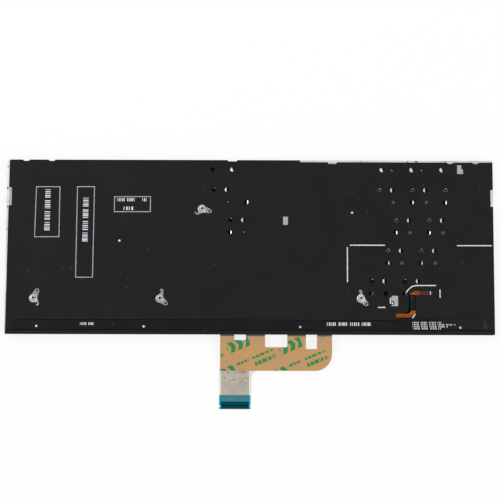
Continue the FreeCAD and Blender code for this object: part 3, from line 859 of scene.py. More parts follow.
def make_guide(name):
    """Milky clear sheet with a fine printed dot pattern that lets the light out."""
    material, tree, place = new_material(name, Roughness=0.3, Transmission_Weight=0.25)
    grain = grain_of(tree, place, 1600.0, 900.0)
    painted(tree, mixed(tree, specks_of(tree, place, 1300.0, 0.5, 0.35), "guide", "guide_dot"))
    bumped(tree, grain["Height"], 0.00001, 0.3)
    return material


def make_flex(name):
    """Amber film over copper lines that run along it."""
    material, tree, place = new_material(name, Specular_IOR_Level=0.05)
    grain = grain_of(tree, place, 1500.0, 400.0)
    y = axes_of(tree, place)["Y"]
    lower = band(tree, y, *bands["lower_flex_line"])
    upper = band(tree, y, *bands["upper_flex_line"])
    amber = mixed(tree, grain["Patches"], "flex", "pale_flex")
    painted(tree, glazed(tree, math_node(tree, "MAXIMUM", lower, upper), 0.85, amber, "copper"))
    roughened(tree, grain["Patches"], 0.4, 0.15)
    return material


def make_liner(name):
    """Golden release paper with generic green marks. A pinkish band shows where the conductors run under it:
    the band follows the distance from a rounded corner. Painted shade darkens a band of it next to the
    module's edge, and a darker painted contact shadow runs along that edge."""
    material, tree, place = new_material(name, Specular_IOR_Level=0.25)
    axes = axes_of(tree, place)
    grain = grain_of(tree, place, 2200.0, 130.0)
    paper = mixed(tree, grain["Patches"], "liner", "dim_liner")
    corner_x, corner_y = liner_corner
    beyond = math_node(tree, "MAXIMUM", math_node(tree, "SUBTRACT", axes["X"], corner_x), 0.0)
    below = math_node(tree, "MAXIMUM", math_node(tree, "SUBTRACT", corner_y, axes["Y"]), 0.0)
    squares = [math_node(tree, "POWER", side, 2.0) for side in (beyond, below)]
    reach = math_node(tree, "SQRT", math_node(tree, "ADD", *squares))
    paper = glazed(tree, band(tree, reach, *bands["liner_lanes"]), 0.6, paper, "pink_liner")
    # Painted shade: a darker band of the paper next to the module's edge
    paper = glazed(tree, band(tree, axes["Y"], *bands["liner_shade"]), 0.6, paper, "shaded_liner")
    turned = add(tree, "ShaderNodeMapping", {"Vector": place, "Rotation": (0.0, 0.0, print_turn)})
    rows = axes_of(tree, turned.outputs[0])
    paper = mixed(tree, printed_marks(tree, rows["X"], rows["Y"]), paper, "liner_print")
    # Painted contact shadow: a dark line along the module's edge
    paper = glazed(tree, band(tree, axes["Y"], *bands["liner_contact_shadow"]), 0.8, paper, "contact_shadow")
    painted(tree, paper)
    roughened(tree, grain["Patches"], 0.5, 0.12)
    bumped(tree, grain["Height"], 0.00002, 0.35)
    return material


def fraction(tree, value, period, shift=0.0):
    """Fraction of the way through a period."""
    return math_node(tree, "FRACT", math_node(tree, "ADD", math_node(tree, "DIVIDE", value, period), shift))


def printed_marks(tree, along, across):
    """Generic print in slanted rows. Each row repeats a group of bold chevrons and two lines of small
    irregular dashes, and starts further along than the row before it. Heights are shares of a row."""
    row_pitch, row_start, row_lead = 0.0122, 0.918, 0.0272
    repeat, repeat_start, repeat_end = 0.041, 0.99, 0.95
    chevron_pitch, chevron_slope, chevron_ink = 0.0046, 1.4, 0.62
    chevron_height, chevron_span = (-0.25, 0.25), (0.02, 0.35)
    dash_pitch, dash_ink = 0.0005, 0.6
    dash_lines = ((0.10, 0.22, 0.40), (-0.24, -0.06, 0.62))
    place = math_node(tree, "ADD", math_node(tree, "DIVIDE", across, row_pitch), row_start)
    row = math_node(tree, "FLOOR", place)
    height = math_node(tree, "SUBTRACT", math_node(tree, "FRACT", place), 0.5)
    shifted = math_node(tree, "MULTIPLY_ADD", row, row_lead, along)
    share = fraction(tree, shifted, repeat, repeat_start)
    bend = math_node(tree, "MULTIPLY", math_node(tree, "ABSOLUTE", height), chevron_slope)
    wave = fraction(tree, math_node(tree, "MULTIPLY_ADD", bend, chevron_pitch, shifted), chevron_pitch)
    bold = math_node(tree, "LESS_THAN", wave, chevron_ink)
    for value, limits in ((height, chevron_height), (share, chevron_span)):
        bold = math_node(tree, "MULTIPLY", bold, band(tree, value, *limits, 0.01))
    column = math_node(tree, "FLOOR", math_node(tree, "DIVIDE", shifted, dash_pitch))
    random = add(tree, "ShaderNodeTexWhiteNoise", {"W": column}, noise_dimensions="1D")
    ragged = math_node(tree, "LESS_THAN", random.outputs["Value"], dash_ink)
    lines = []
    for low, high, start in dash_lines:
        span = band(tree, share, start, repeat_end, 0.01)
        lines.append(math_node(tree, "MULTIPLY", band(tree, height, low, high, 0.015), span))
    dashes = math_node(tree, "MULTIPLY", math_node(tree, "MAXIMUM", *lines), ragged)
    return math_node(tree, "MAXIMUM", bold, dashes)


def make_membrane(name):
    """Printed polyester: on the tail silvery conductors between clear margins, with dark specks of adhesive
    near the flap, and carbon pads at the end. On the flap the liner shows through it. Under the plate it is
    painted near-black: painted shade for what shows of it through the plate's windows."""
    material, tree, place = new_material(name, Roughness=0.38, Specular_IOR_Level=0.03)
    x, y = axes_of(tree, place)[:2]
    grain = grain_of(tree, place, 1700.0, 140.0)
    silver = mixed(tree, grain["Patches"], "ribbon", "dim_ribbon")
    lane = band(tree, fraction(tree, x, conductor_pitch), 0.18, 0.82, 0.12)
    silver = glazed(tree, lane, 0.16, silver, "conductor")
    rows = [band(tree, y, *bands[row]) for row in ("lower_adhesive", "upper_adhesive")]
    specks = specks_of(tree, place, 1250.0, 0.34, 0.42)
    spots = math_node(tree, "MULTIPLY", specks, math_node(tree, "MAXIMUM", *rows))
    silver = glazed(tree, spots, 0.8, silver, "adhesive")
    lane_core = math_node(tree, "GREATER_THAN", lane, 0.5)
    silver = glazed(tree, band(tree, y, *bands["pads"]), lane_core, silver, "carbon")
    clear = mixed(tree, band(tree, y, *bands["flap"]), "clear_film", "clear_flap")
    ribbon = mixed(tree, band(tree, x, *bands["conductors"]), clear, silver)
    edges = [band(tree, x, *bands[side]) for side in ("left_edge", "right_edge")]
    ribbon = glazed(tree, math_node(tree, "MAXIMUM", *edges), 0.7, ribbon, "ribbon_edge")
    # Under the plate the film is painted near-black: painted shade in the plate's windows
    painted(tree, mixed(tree, band(tree, y, *bands["under_plate_shade"]), ribbon, "window_shade_black"))
    bumped(tree, grain["Height"], 0.00001, 0.3)
    return material


def make_stiffener(name):
    """Blue backing: bright side bands, a slate middle, a darker end and a black line across it."""
    material, tree, place = new_material(name, Roughness=0.42, Specular_IOR_Level=0.02)
    x, y = axes_of(tree, place)[:2]
    grain = grain_of(tree, place, 1500.0, 200.0)
    middle = band(tree, x, *bands["conductors"])
    slate = mixed(tree, grain["Patches"], "slate", "pale_slate")
    core = mixed(tree, band(tree, y, *bands["stiffener_end"]), slate, "deep_slate")
    tone = mixed(tree, middle, "stiffener", core)
    painted(tree, glazed(tree, band(tree, y, *bands["stiffener_line"]), middle, tone, "cut_line"))
    bumped(tree, grain["Height"], 0.00001, 0.3)
    return material


def seen_rays(tree):
    """1 for rays from the camera, in reflections and through clear sheets, and 0 for all others."""
    rays = add(tree, "ShaderNodeLightPath").outputs
    seen = math_node(tree, "MAXIMUM", rays["Is Camera Ray"], rays["Is Glossy Ray"])
    return math_node(tree, "MAXIMUM", seen, rays["Is Transmission Ray"])


def make_floor(name):
    """Pale floor: white to the camera and in reflections, with most of the object's shadow kept out."""
    material, tree = new_material(name, Roughness=0.9, Base_Color=colour_of("white"))[:2]
    glow = add(tree, "ShaderNodeEmission", {"Color": colour_of("white"), "Strength": 1.0})
    share = math_node(tree, "MULTIPLY", seen_rays(tree), floor_glow)
    surface = tree.nodes["Principled BSDF"].outputs[0]
    blend = add(tree, "ShaderNodeMixShader", {0: share, 1: surface, 2: glow.outputs[0]})
    tree.links.new(blend.outputs[0], tree.nodes["Material Output"].inputs["Surface"])
    return material


special_makers = {
    "glossy_tape": make_patch, "clear_sheet": make_guide, "polyimide": make_flex, "kraft_liner": make_liner,
    "membrane_film": make_membrane, "stiffener_blue": make_stiffener, "pale_floor": make_floor,
}


def material_named(name):
    """The material of that name, made at its first use."""
    made = bpy.data.materials.get(name + "_finish")
    if made:
        return made
    if name in special_makers:
        return special_makers[name](name)
    if name in plastics:
        return (make_dome if name == "dome_rubber" else make_plastic)(name, *plastics[name])
    if name in metals:
        return make_metal(name, *metals[name])
    return make_ink(name, *inks[name])


def mesh_piece(name, parts, sharp=40.0):
    """A mesh object from parts of (points, blocks of faces, material), in metres at the origin."""
    points = np.concatenate([points for (points, blocks), material in parts]) * mm
    faces, slots, names, start = [], [], [], 0
    for (part_points, blocks), material in parts:
        if material not in names:
            names.append(material)
        for block in blocks:
            faces += (block + start).tolist()
            slots += [names.index(material)] * len(block)
        start += len(part_points)
    mesh = bpy.data.meshes.new(name)
    mesh.from_pydata(points, [], faces)
    for material in names:
        mesh.materials.append(material_named(material))
    mesh.polygons.foreach_set("material_index", slots)
    mesh.shade_smooth()
    mesh.set_sharp_from_angle(angle=math.radians(sharp))
    thing = bpy.data.objects.new(name, mesh)
    bpy.context.scene.collection.objects.link(thing)
    return thing


def add_piece(name, parts, body, slot, *replaced):
    """A mesh piece that rides on a body and stands for CAD nodes. The slot is not used."""
    thing = mesh_piece(name, parts)
    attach(thing, body)
    if replaced:
        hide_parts(*replaced)
    return thing


# Keys

digit_signs = dict(zip("1234567890", "!@#$%^&*()"))
word_legends = {
    "backspace": "backspace", "tab": "tab", "caps_lock": "caps lock", "enter": "enter", "shift_left": "shift",
    "shift_right": "shift", "space": "",
}
group_legends = {
    "function_row_keys": ["esc"] + ["F%d" % i for i in range(1, 13)] + ["print", "delete", "power"],
    "symbol_keys": ["~\n`", "_\n-", "+\n=", "{\n[", "}\n]", "|\n\\", ":\n;", "\"\n'", "<\n,", ">\n.", "?\n/"],
    "modifier_keys": ["ctrl", "fn", "menu", "alt", "alt", "ctrl"],
    "arrow_keys": ["<", "^", "v", ">"],
}


def islands(node):
    """Boxes of the separate solids of a CAD node. Triangles that share a corner take the lowest of their
    labels until none changes, and each label's points give a box."""
    mesh = frame["nodes"][node].data
    points = np.empty(len(mesh.vertices) * 3)
    mesh.vertices.foreach_get("co", points)
    corners = np.empty(len(mesh.loops), int)
    mesh.loops.foreach_get("vertex_index", corners)
    places, merged = np.unique(np.round(points.reshape(-1, 3) / mm, 3), axis=0, return_inverse=True)
    triangles = merged.ravel()[corners].reshape(-1, 3)
    labels = np.arange(len(places))
    changed = True
    while changed:
        before = labels.copy()
        lowest = labels[triangles].min(axis=1)
        np.minimum.at(labels, triangles.ravel(), np.repeat(lowest, 3))
        changed = (labels != before).any()
    return [(places[labels == i].min(axis=0), places[labels == i].max(axis=0)) for i in np.unique(labels)]


def reading_order(part):
    """Rows from the top, and in a row from the keyboard's own left, which is at +X."""
    high = part[1]
    return -round(high[1]), -round(high[0])


def key_from(name, part, legend, body):
    """One key: its name, centre, size, legend and body."""
    low, high = part
    x, y = (low[:2] + high[:2]) / 2
    w, d = (high - low)[:2]
    return {"name": name, "x": x, "y": y, "w": w, "d": d, "legend": legend, "body": body}


def moving_keys():
    """The keys that have a joint of their own."""
    keys = []
    for joint in frame["joints"]:
        if joint["name"].startswith("press_"):
            name = joint["name"].removeprefix("press_")
            if name in digit_signs:
                legend = digit_signs[name] + "\n" + name
            else:
                legend = word_legends.get(name, name.upper())
            key = key_from("key_" + name, box_of("key_" + name), legend, "key_" + name)
            keys.append(key | {"joint": joint["name"], "travel": joint["range_m"][1] / mm})
    return keys


def fixed_keys(group):
    """The keys of one group, in reading order."""
    parts = islands(group)
    if group == "arrow_keys":
        parts.sort(key=lambda part: (-round(part[1][0]), -part[1][1]))
    else:
        parts.sort(key=reading_order)
    stem = group.removesuffix("_row_keys").removesuffix("_keys")
    return [key_from("%s_%d" % (stem, i), part, legend, "root")
            for i, (part, legend) in enumerate(zip(parts, group_legends[group]))]


def all_fixed_keys():
    return [key for group in group_legends for key in fixed_keys(group)]


def all_keys():
    return moving_keys() + all_fixed_keys()


def dish_height(key, x, y):
    """Height of a cap's top over the resting plane: a hollow that falls with the square of the share of the
    way from the middle to the edge, that share being the larger of the two axes' shares."""
    inset = cap_flare + length_of("cap_edge")
    half_w, half_d = key["w"] / 2 - inset, key["d"] / 2 - inset
    share = np.maximum(np.abs(x - key["x"]) / half_w, np.abs(y - key["y"]) / half_d)
    return length_of("cap_dish") * (1 - np.minimum(share, 1.0) ** 2)


def cap_shell(key):
    """One skin of a key cap, as rounded rectangles from the middle of the dished top, over its round edge,
    down the flared skirt, round the rim and up inside to the middle of the ceiling."""
    edge, corner, dish = length_of("cap_edge"), length_of("cap_corner"), length_of("cap_dish")
    share = np.array([0.04, 0.35, 0.65, 0.85, 1.0])
    turn = np.radians([30, 60, 90])
    inset = np.concatenate([
        np.full(5, cap_flare + edge), cap_flare + edge * (1 - np.sin(turn)), [0.06, 0.0, 0.12],
        [cap_wall - 0.1, cap_wall], [cap_wall + 0.1, cap_wall + 0.4], [cap_wall + 0.4] * 2,
    ])
    scale = np.concatenate([share, np.ones(10), [0.5, 0.04]])
    z = np.concatenate([
        dish * (1 - share ** 2), edge * (1 - np.cos(turn)), [cap_height * 0.8, cap_height - 0.1, cap_height],
        [cap_height, cap_height - 0.1], [cap_roof + 0.3, cap_roof], [cap_roof] * 2,
    ])
    half_w, half_d = (key["w"] / 2 - inset) * scale, (key["d"] / 2 - inset) * scale
    radius = np.maximum(corner - inset * 0.6, 0.25) * scale
    x, y = round_rings(half_w, half_d, np.minimum(radius, np.minimum(half_w, half_d) * 0.9))
    z = np.broadcast_to(z[:, None], x.shape)
    return skin(np.stack([key["x"] + x, key["y"] + y, z], axis=-1))


def text_sheet(words, height):
    """Points and triangles of a text, its middle at the origin."""
    curve = bpy.data.curves.new("legend", "FONT")
    curve.body = words
    curve.size = height
    curve.align_x = "CENTER"
    curve.align_y = "CENTER"
    curve.resolution_u = 4
    curve.space_line = 0.9
    holder = bpy.data.objects.new("legend", curve)
    mesh = bpy.data.meshes.new_from_object(holder)
    mesh.calc_loop_triangles()
    points = np.empty(len(mesh.vertices) * 3)
    mesh.vertices.foreach_get("co", points)
    triangles = np.empty(len(mesh.loop_triangles) * 3, int)
    mesh.loop_triangles.foreach_get("vertices", triangles)
    bpy.data.objects.remove(holder)
    bpy.data.curves.remove(curve)
    bpy.data.meshes.remove(mesh)
    return points.reshape(-1, 3)[:, :2], triangles.reshape(-1, 3)


def cap_legend(key):
    """The legend as a thin sheet on the dished top, mirrored in X because it is read from below. Words stand
    at the side of wide keys, single signs near a corner."""
    words = key["legend"]
    stacked = "\n" in words
    xy, triangles = text_sheet(words, sign_size if len(words) == 1 or stacked else word_size)
    low, high = xy.min(axis=0), xy.max(axis=0)
    room_x = key["w"] / 2 - cap_flare - legend_margin - (high - low)[0] / 2
    wide = key["w"] > wide_share * key["d"] and key["d"] > shallow_depth
    shift = room_x if wide else min(room_x, legend_reach)
    lift = 0 if stacked or key["d"] < shallow_depth else legend_lift
    middle = (low + high) / 2
    x = key["x"] + shift - (xy[:, 0] - middle[0])
    y = key["y"] + (xy[:, 1] - middle[1]) + lift
    z = dish_height(key, x, y) - legend_thickness
    return np.column_stack([x, y, np.maximum(z, 0.0)]), [triangles]


def home_bar(key):
    """Small raised bar that marks a home key: a half ellipsoid inside the dish."""
    rings = np.linspace(0.05, 1.0, 6)
    angle = turns(16)
    half_x, half_y = home_bar_half
    x = key["x"] + half_x * rings[:, None] * np.cos(angle)
    y = key["y"] + home_bar_y + half_y * rings[:, None] * np.sin(angle)
    ground = dish_height(key, x, y) + 0.005
    z = ground * (1 - np.sqrt(np.maximum(1 - rings ** 2, 0)))[:, None]
    return skin(np.stack([x, y, z], axis=-1))


def cap_parts(key):
    """Everything that belongs to one cap."""
    parts = [(cap_shell(key), "key_plastic")]
    if key["legend"]:
        parts.append((cap_legend(key), "legend_ink"))
    if key["name"] in home_keys:
        parts.append((home_bar(key), "key_plastic"))
    return parts


def frame_sizes(key):
    """Width and length of a key's outer scissor frame, then of its inner one."""
    outer_w = min(outer_frame_width, key["w"] - 2 * (cap_wall + frame_cap_play))
    outer_l = frame_reach * key["d"] + frame_overhang
    return (outer_w, outer_l), (outer_w - 2 * (frame_arm + frame_gap), outer_l - 2 * frame_gap)


def scissor_frame(key, size, direction):
    """Ring-shaped frame: a rounded section carried round a rounded rectangle, then tilted about X so that one
    end meets the cap and the other the membrane."""
    width, length = size
    room = (membrane_z - cap_roof) / 2 - frame_end_play
    tilt = direction * math.asin((room - frame_thickness / 2) / (length / 2))
    angle = turns(8) + math.pi / 8
    a = frame_arm / 2 * np.cos(angle) / math.cos(math.pi / 8)
    b = frame_thickness / 2 * np.sin(angle) / math.cos(math.pi / 8)
    half_w = width / 2 - frame_arm / 2 + a
    half_d = length / 2 - frame_arm / 2 + a
    x, y = round_rings(half_w, half_d, frame_arm / 2 + 0.05 + a, 4)
    z = np.broadcast_to(b[:, None], x.shape)
    tilted_y = y * math.cos(tilt) - z * math.sin(tilt)
    tilted_z = y * math.sin(tilt) + z * math.cos(tilt)
    points = np.stack([x, tilted_y, tilted_z], axis=-1)
    return skin(points + (key["x"], key["y"], (membrane_z + cap_roof) / 2), closed=True)


def pivot_pins(key):
    """The two pins that join a key's frames at their middle: short drums along X."""
    outer_w, inner_w = [width for width, length in frame_sizes(key)]
    angle = turns(10)
    y = key["y"] + pivot_radius * np.cos(angle)
    z = (membrane_z + cap_roof) / 2 + pivot_radius * np.sin(angle)
    pins = []
    for side in (-1, 1):
        x = key["x"] + side * (np.array([inner_w, outer_w]) / 2 - pivot_inset)
        pins.append(skin(np.stack(np.broadcast_arrays(x[:, None], y, z), axis=-1)))
    return pins


def rubber_dome(key):
    """Spring dome: its radius falls from a flat foot to the tip along a smooth S curve of the height."""
    (inner_w, inner_l) = frame_sizes(key)[1]
    foot = min(dome_foot, min(inner_w, inner_l) / 2 - frame_arm - 0.1)
    foot_z = membrane_z - dome_flange
    share = np.linspace(0, 1, 8)
    curve = share * share * (3 - 2 * share)
    radii = np.concatenate([[foot, foot], foot * (0.92 - 0.37 * curve), [foot * 0.4]])
    heights = np.concatenate([[membrane_z, foot_z], foot_z - (membrane_z - 1.1) * share, [cap_roof]])
    heights[-2] = cap_roof + 0.1
    return revolved(radii, heights, key["x"], key["y"], 20)


def mechanism_parts(key):
    """The two frames, their pins and the dome of one key."""
    outer, inner = frame_sizes(key)
    shapes = [scissor_frame(key, outer, 1), scissor_frame(key, inner, -1)] + pivot_pins(key)
    return [(shape, "frame_plastic") for shape in shapes] + [(rubber_dome(key), "dome_rubber")]


# Plate, film and what lies on them

def key_windows(key):
    """Openings that the plate's hooks are bent out of: three to a key of the function row, four elsewhere."""
    x, y = key["x"], key["y"]
    shallow = key["d"] < shallow_depth
    boxes = [function_window] if shallow else key_boxes
    boxes = [round_box(x + x0, x + x1, y + y0, y + y1, r, 3) for x0, x1, y0, y1, r in boxes]
    if shallow:
        return [np.array(corners) + (x, y) for corners in slanted_windows] + boxes
    shift_x, shift_y, radius = round_window
    return boxes + [circle(x + shift_x, y + shift_y, radius, 14)]


def key_by_name():
    """Every key by its bare name."""
    return {key["name"].removeprefix("key_"): key for key in all_keys()}


def bent_lip(key, kind):
    """Rounded lip beside a window: a quarter of a wave from the plate up to the window's edge, as a ridge
    along Y with softened ends."""
    x0, x1, y0, y1, cut, rise = lips[kind]
    length = y1 - y0 - (0.0 if key["x"] > 0 else cut)
    share = np.linspace(0, 1, 7)
    x = np.concatenate([x0 + (x1 - x0) * share, [x1, x0]])
    z = np.concatenate([rise * np.sin(share * np.pi / 2), [-0.1, -0.1]])
    along = np.linspace(0, 1, 5)
    swell = np.sqrt(1 - (2 * along - 1) ** 4 * 0.8)
    rings = np.empty((5, len(x), 3))
    rings[:, :, 0] = key["x"] + x
    rings[:, :, 1] = (key["y"] + y0 + length * along)[:, None]
    rings[:, :, 2] = plate_high[2] + np.where(z > 0, z * swell[:, None], z)
    return skin(rings)


def window_ring(key):
    """Oval ring that stands in a window."""
    x, y = ring_place
    points, faces = bead(ring_radius, ring_wire, ring_wire, 0.0, 0.0, plate_high[2], 20, 8)
    return points * (ring_stretch, 1.0, 1.0) + (key["x"] + x, key["y"] + y, 0.0), faces


def window_stud(key, place, size):
    """Low stud that stands in a window."""
    x, y = place
    return turned_head(stud_profile, key["x"] + x, key["y"] + y, plate_z, size)


def window_fittings():
    """What shows in the film's holes: a bright lip at the upper +X window, a thin one at the lower -X window,
    a ring in the upper -X window and a dark stud in the lower +X one. The lowest row's lip and ring are
    painted dark as shade and that row has no stud, the a and s keys' lower lips take a darker steel as
    painted shade, and the keys on the -X side show less of theirs."""
    keys = key_by_name()
    parts = []
    for name, (upper, lower) in film_holes.items():
        key = keys[name]
        near = key["x"] > 0
        if name.startswith("function"):
            if -1 in upper:
                parts.append((bent_lip(key, "function"), "bright_steel"))
            if 1 in upper and near:
                parts.append((window_stud(key, function_stud_place, 0.8), "dark_stud"))
            continue
        # The lowest row's lips and rings take dark finishes as painted shade, and that row gets no stud
        dull = name in ("z", "x")
        if 1 in upper:
            parts.append((bent_lip(key, "upper"), "bright_steel"))
        if -1 in upper and near:
            parts.append((window_ring(key), "black_film" if dull else "ring_steel"))
        if -1 in lower:
            # The a and s keys' lower lips take the darker steel as painted shade
            finish = "plated_steel" if name in ("a", "s") else "bright_steel"
            parts.append((bent_lip(key, "lower"), "dark_stud" if dull else finish))
        if 1 in lower and not dull:
            parts.append((window_stud(key, stud_place, 1.0 if near else 0.7), "dark_stud"))
    return parts


def hook_walls(key):
    """The two ends' hooks: the way they face, and the y of their upright part. Each end's hooks hold the
    frame that is level with the membrane there."""
    outer, inner = frame_sizes(key)
    play = hook_play + hook_thickness / 2
    ends = ((1, inner[1]), (-1, outer[1]))
    return [(facing, key["y"] - facing * (length / 2 + play)) for facing, length in ends]


def key_hooks(key):
    """The bent hooks under a key: a flat strip that runs down from the plate, turns and ends as a lip."""
    turn = np.radians(np.linspace(0, 90, 5))
    low = hook_tip_z + hook_tip_half
    curl_y, curl_z = hook_bend * (1 - np.cos(turn)), low + hook_bend * (1 - np.sin(turn))
    path_y = np.concatenate([[0], curl_y, [hook_lip + hook_thickness / 2]])
    path_z = np.concatenate([[plate_z], curl_z, [low]])
    thickness = np.linspace(hook_thickness / 2, hook_tip_half, len(path_y))
    section = box(-hook_width / 2, hook_width / 2, -1, 1)
    hooks = []
    for facing, wall_y in hook_walls(key):
        for side in (-1, 1):
            x = np.full(len(path_y), key["x"] + side * hook_x)
            path = np.stack([x, wall_y + facing * path_y, path_z], axis=-1)
            hooks.append(strip_along(path, section, thickness))
    return hooks


def strip_along(path, section, thickness):
    """A flat strip that follows a path in the YZ plane: a section point is its distance along X and the side
    of the strip, which stands off the path by the thickness at that point."""
    across = np.array((1.0, 0.0, 0.0))
    upward = np.cross(headings(path), across)
    a, b = section.T
    offset = b[:, None] * upward[:, None, :] * thickness[:, None, None]
    return skin(path[:, None, :] + a[:, None] * across + offset)


def edge_notch(x, y_edge, depth):
    """Tapered notch that opens at an edge facing +Y."""
    low, high = x
    mouth, end = y_edge + cutter_reach, y_edge - depth
    return np.array([(low, mouth), (low + notch_taper, end), (high - notch_taper, end), (high, mouth)])


def scallops(places):
    return [circle(x, top_y + rise, scallop_radius, 40) for x, rise in places]


def hole_places():
    """Centres of the film's round holes over the hooks."""
    keys = key_by_name()
    places = []
    for name, (upper, lower) in film_holes.items():
        x, y = keys[name]["x"], keys[name]["y"]
        tops = function_holes if name.startswith("function") else upper_holes
        for offsets, sides in ((tops, upper), (lower_holes, lower)):
            places += [(x + offsets[side][0], y + offsets[side][1]) for side in sides]
    return places


def droop(y):
    """Height that the tail adds to the membrane's: level, an arc down, a slope, an arc back, and level on the
    resting plane. The slope's length makes the whole drop equal to the membrane's height."""
    run = (membrane_z - 2 * bend_radius * (1 - math.cos(bend_slope))) / math.sin(bend_slope)
    arc_y = bend_radius * math.sin(bend_slope)
    arc_drop = bend_radius * (1 - math.cos(bend_slope))
    slope_end = bend_y - arc_y - run * math.cos(bend_slope)
    land = slope_end - arc_y
    out = bend_y - y
    first = -(bend_radius - np.sqrt(np.maximum(bend_radius ** 2 - out ** 2, 0)))
    slope = -arc_drop - (bend_y - arc_y - y) * math.tan(bend_slope)
    into = np.clip(y - land, 0, None)
    last = -membrane_z + bend_radius - np.sqrt(np.maximum(bend_radius ** 2 - into ** 2, 0))
    limits = [bend_y, bend_y - arc_y, slope_end, land]
    return np.select([y >= limit for limit in limits], [0 * y, first, slope, last], -membrane_z)


def flap_loops():
    """Solid outlines of the flap, and its cut-outs."""
    low_x, high_x = flap_x
    r = flap_corner
    corner = arc(high_x - r, flap_end_y + r, r, 270, 360, 14)
    flap = np.concatenate([[(low_x, bottom_y), (low_x, flap_end_y)], corner, [(high_x, bottom_y)]])
    holes = [round_box(x0, x1, y_end, bottom_y + cutter_reach, 0.6, 4) for x0, x1, y_end in tail_cutouts]
    return [flap], holes


def ribbon_loops():
    """Outlines of the ribbon, and of the fillet between it and the flap."""
    x0, x1 = ribbon_x
    r = ribbon_fillet
    hollow = arc(x1 + r, flap_end_y - r, r, 180, 90, 10)
    inside, above = x1 - cutter_reach, flap_end_y + 0.5
    fillet = np.concatenate([[(inside, above), (inside, flap_end_y - r)], hollow, [(x1 + r, above)]])
    return [box(x0, x1, tail_end_y, flap_end_y + cutter_reach), fillet]


def end_nicks():
    """V notches in both sides of the contact end."""
    y, r = tail_end_y + nick_y, nick_depth
    return [np.array([(x - side * r, y - r), (x + side * r, y), (x - side * r, y + r)])
            for x, side in zip(ribbon_x, (1, -1))]


tail_stations = np.arange(bottom_y - 0.6, tail_end_y + 9, -0.7)


class KEYBOARD_OT_plate(bpy.types.Operator):
    """Stamped base plate with lanced windows, bent hooks and notched edges"""

    bl_idname = "keyboard.plate"
    bl_label = "Base plate"

    def execute(self, context):
        keys = all_keys()
        outline = [round_box(-edge_x, edge_x, bottom_y, top_y, corner_radius)]
        holes = [edge_notch(notch_x, top_y, notch_depth)] + scallops(plate_scallops)
        holes += [window for key in keys for window in key_windows(key)]
        holes += [circle(*boss["at"], bore_radius + bore_play) for boss in bosses]
        parts = [(sheet(outline, holes, plate_z, plate_thickness), "stamped_plate")]
        parts += [(hook, "stamped_plate") for key in keys for hook in key_hooks(key)]
        parts += window_fittings()
        add_piece("base_plate_sheet", parts, "root", "stamped_plate", "base_plate")
        return {"FINISHED"}


class KEYBOARD_OT_membrane(bpy.types.Operator):
    """Switch membrane and the tail that droops from it to the resting plane"""

    bl_idname = "keyboard.membrane"
    bl_label = "Membrane and tail"

    def execute(self, context):
        low, high = membrane_low, membrane_high
        flap, cutouts = flap_loops()
        field = box(low[0], high[0], bottom_y, high[1])
        half_x, half_y = hook_slot_half
        slots = []
        for key in all_keys():
            for facing, wall_y in hook_walls(key):
                for x in (key["x"] - hook_x, key["x"] + hook_x):
                    slots.append(box(x - half_x, x + half_x, wall_y - half_y, wall_y + half_y))
        solids = [field] + flap + ribbon_loops()
        holes = cutouts + slots + end_nicks()
        body = sheet(solids, holes, membrane_z, membrane_thickness, tail_stations, droop)
        add_piece("membrane_sheet", [(body, "membrane_film")], "root", "membrane_film", "membrane_circuit")
        return {"FINISHED"}


class KEYBOARD_OT_liner(bpy.types.Operator):
    """Release paper on the flap's adhesive"""

    bl_idname = "keyboard.liner"
    bl_label = "Tail liner"

    def execute(self, context):
        flap, cutouts = flap_loops()
        cutouts.append(box(-edge_x, edge_x, bottom_y - 0.2, bottom_y + 2))
        body = sheet(flap, cutouts, membrane_high[2], liner_thickness, tail_stations, droop)
        add_piece("tail_liner_paper", [(body, "kraft_liner")], "root", "kraft_liner", "tail_liner")
        return {"FINISHED"}


class KEYBOARD_OT_stiffener(bpy.types.Operator):
    """Blue backing of the contact end, with a nick in each side"""

    bl_idname = "keyboard.stiffener"
    bl_label = "Stiffener"

    def execute(self, context):
        low, high = stiffener_low, stiffener_high
        outline = [box(low[0], high[0] - 0.6, low[1], high[1])]
        parts = [(slab(outline, end_nicks(), low, high), "stiffener_blue")]
        add_piece("tail_stiffener_film", parts, "root", "stiffener_blue", "tail_stiffener")
        return {"FINISHED"}


class KEYBOARD_OT_guide(bpy.types.Operator):
    """Clear sheet that spreads the backlight, open over the hooks that show"""

    bl_idname = "keyboard.guide"
    bl_label = "Light guide"

    def execute(self, context):
        low, high = guide_low, guide_high
        holes = [circle(x, y, length_of("film_hole") + 0.25, 20) for x, y in hole_places() + pin_places]
        holes += [circle(*boss["at"], shank_radius + shank_play) for boss in bosses]
        body = slab([box(low[0], high[0], low[1], high[1])], holes, low, high)
        add_piece("light_guide_sheet", [(body, "clear_sheet")], "root", "clear_sheet", "light_guide")
        return {"FINISHED"}


class KEYBOARD_OT_film(bpy.types.Operator):
    """Black film over the back, with its holes, windows, notches and scallops"""

    bl_idname = "keyboard.film"
    bl_label = "Back film"

    def execute(self, context):
        step_y = top_y - film_step
        left_low, left_high = film_left_x
        r = corner_radius
        outline = np.concatenate([
            [(left_low, bottom_y)], arc(edge_x - r, bottom_y + r, r, 270, 360, 5),
            [(edge_x, step_y), (film_step_x, step_y), (film_step_x, top_y)],
            arc(left_high + r, top_y - r, r, 90, 180, 5),
        ])
        holes = [circle(x, y, length_of("film_hole")) for x, y in hole_places()]
        holes += [circle(x, y, pin_hole_radius, 20) for x, y in pin_places]
        holes += [circle(*boss["at"], shank_radius + shank_play) for boss in bosses]
        holes += [box(*window) for window in film_windows] + [np.array(stepped_window)]
        holes += [round_box(*opening) for opening in edge_openings]
        holes += [edge_notch(notch_x, top_y, notch_depth), edge_notch(film_notch_x, step_y, film_notch_depth)]
        holes += scallops(film_scallops)
        body = slab([outline], holes, film_low, film_high)
        add_piece("back_film_sheet", [(body, "black_film")], "root", "black_film", "back_film")
        return {"FINISHED"}


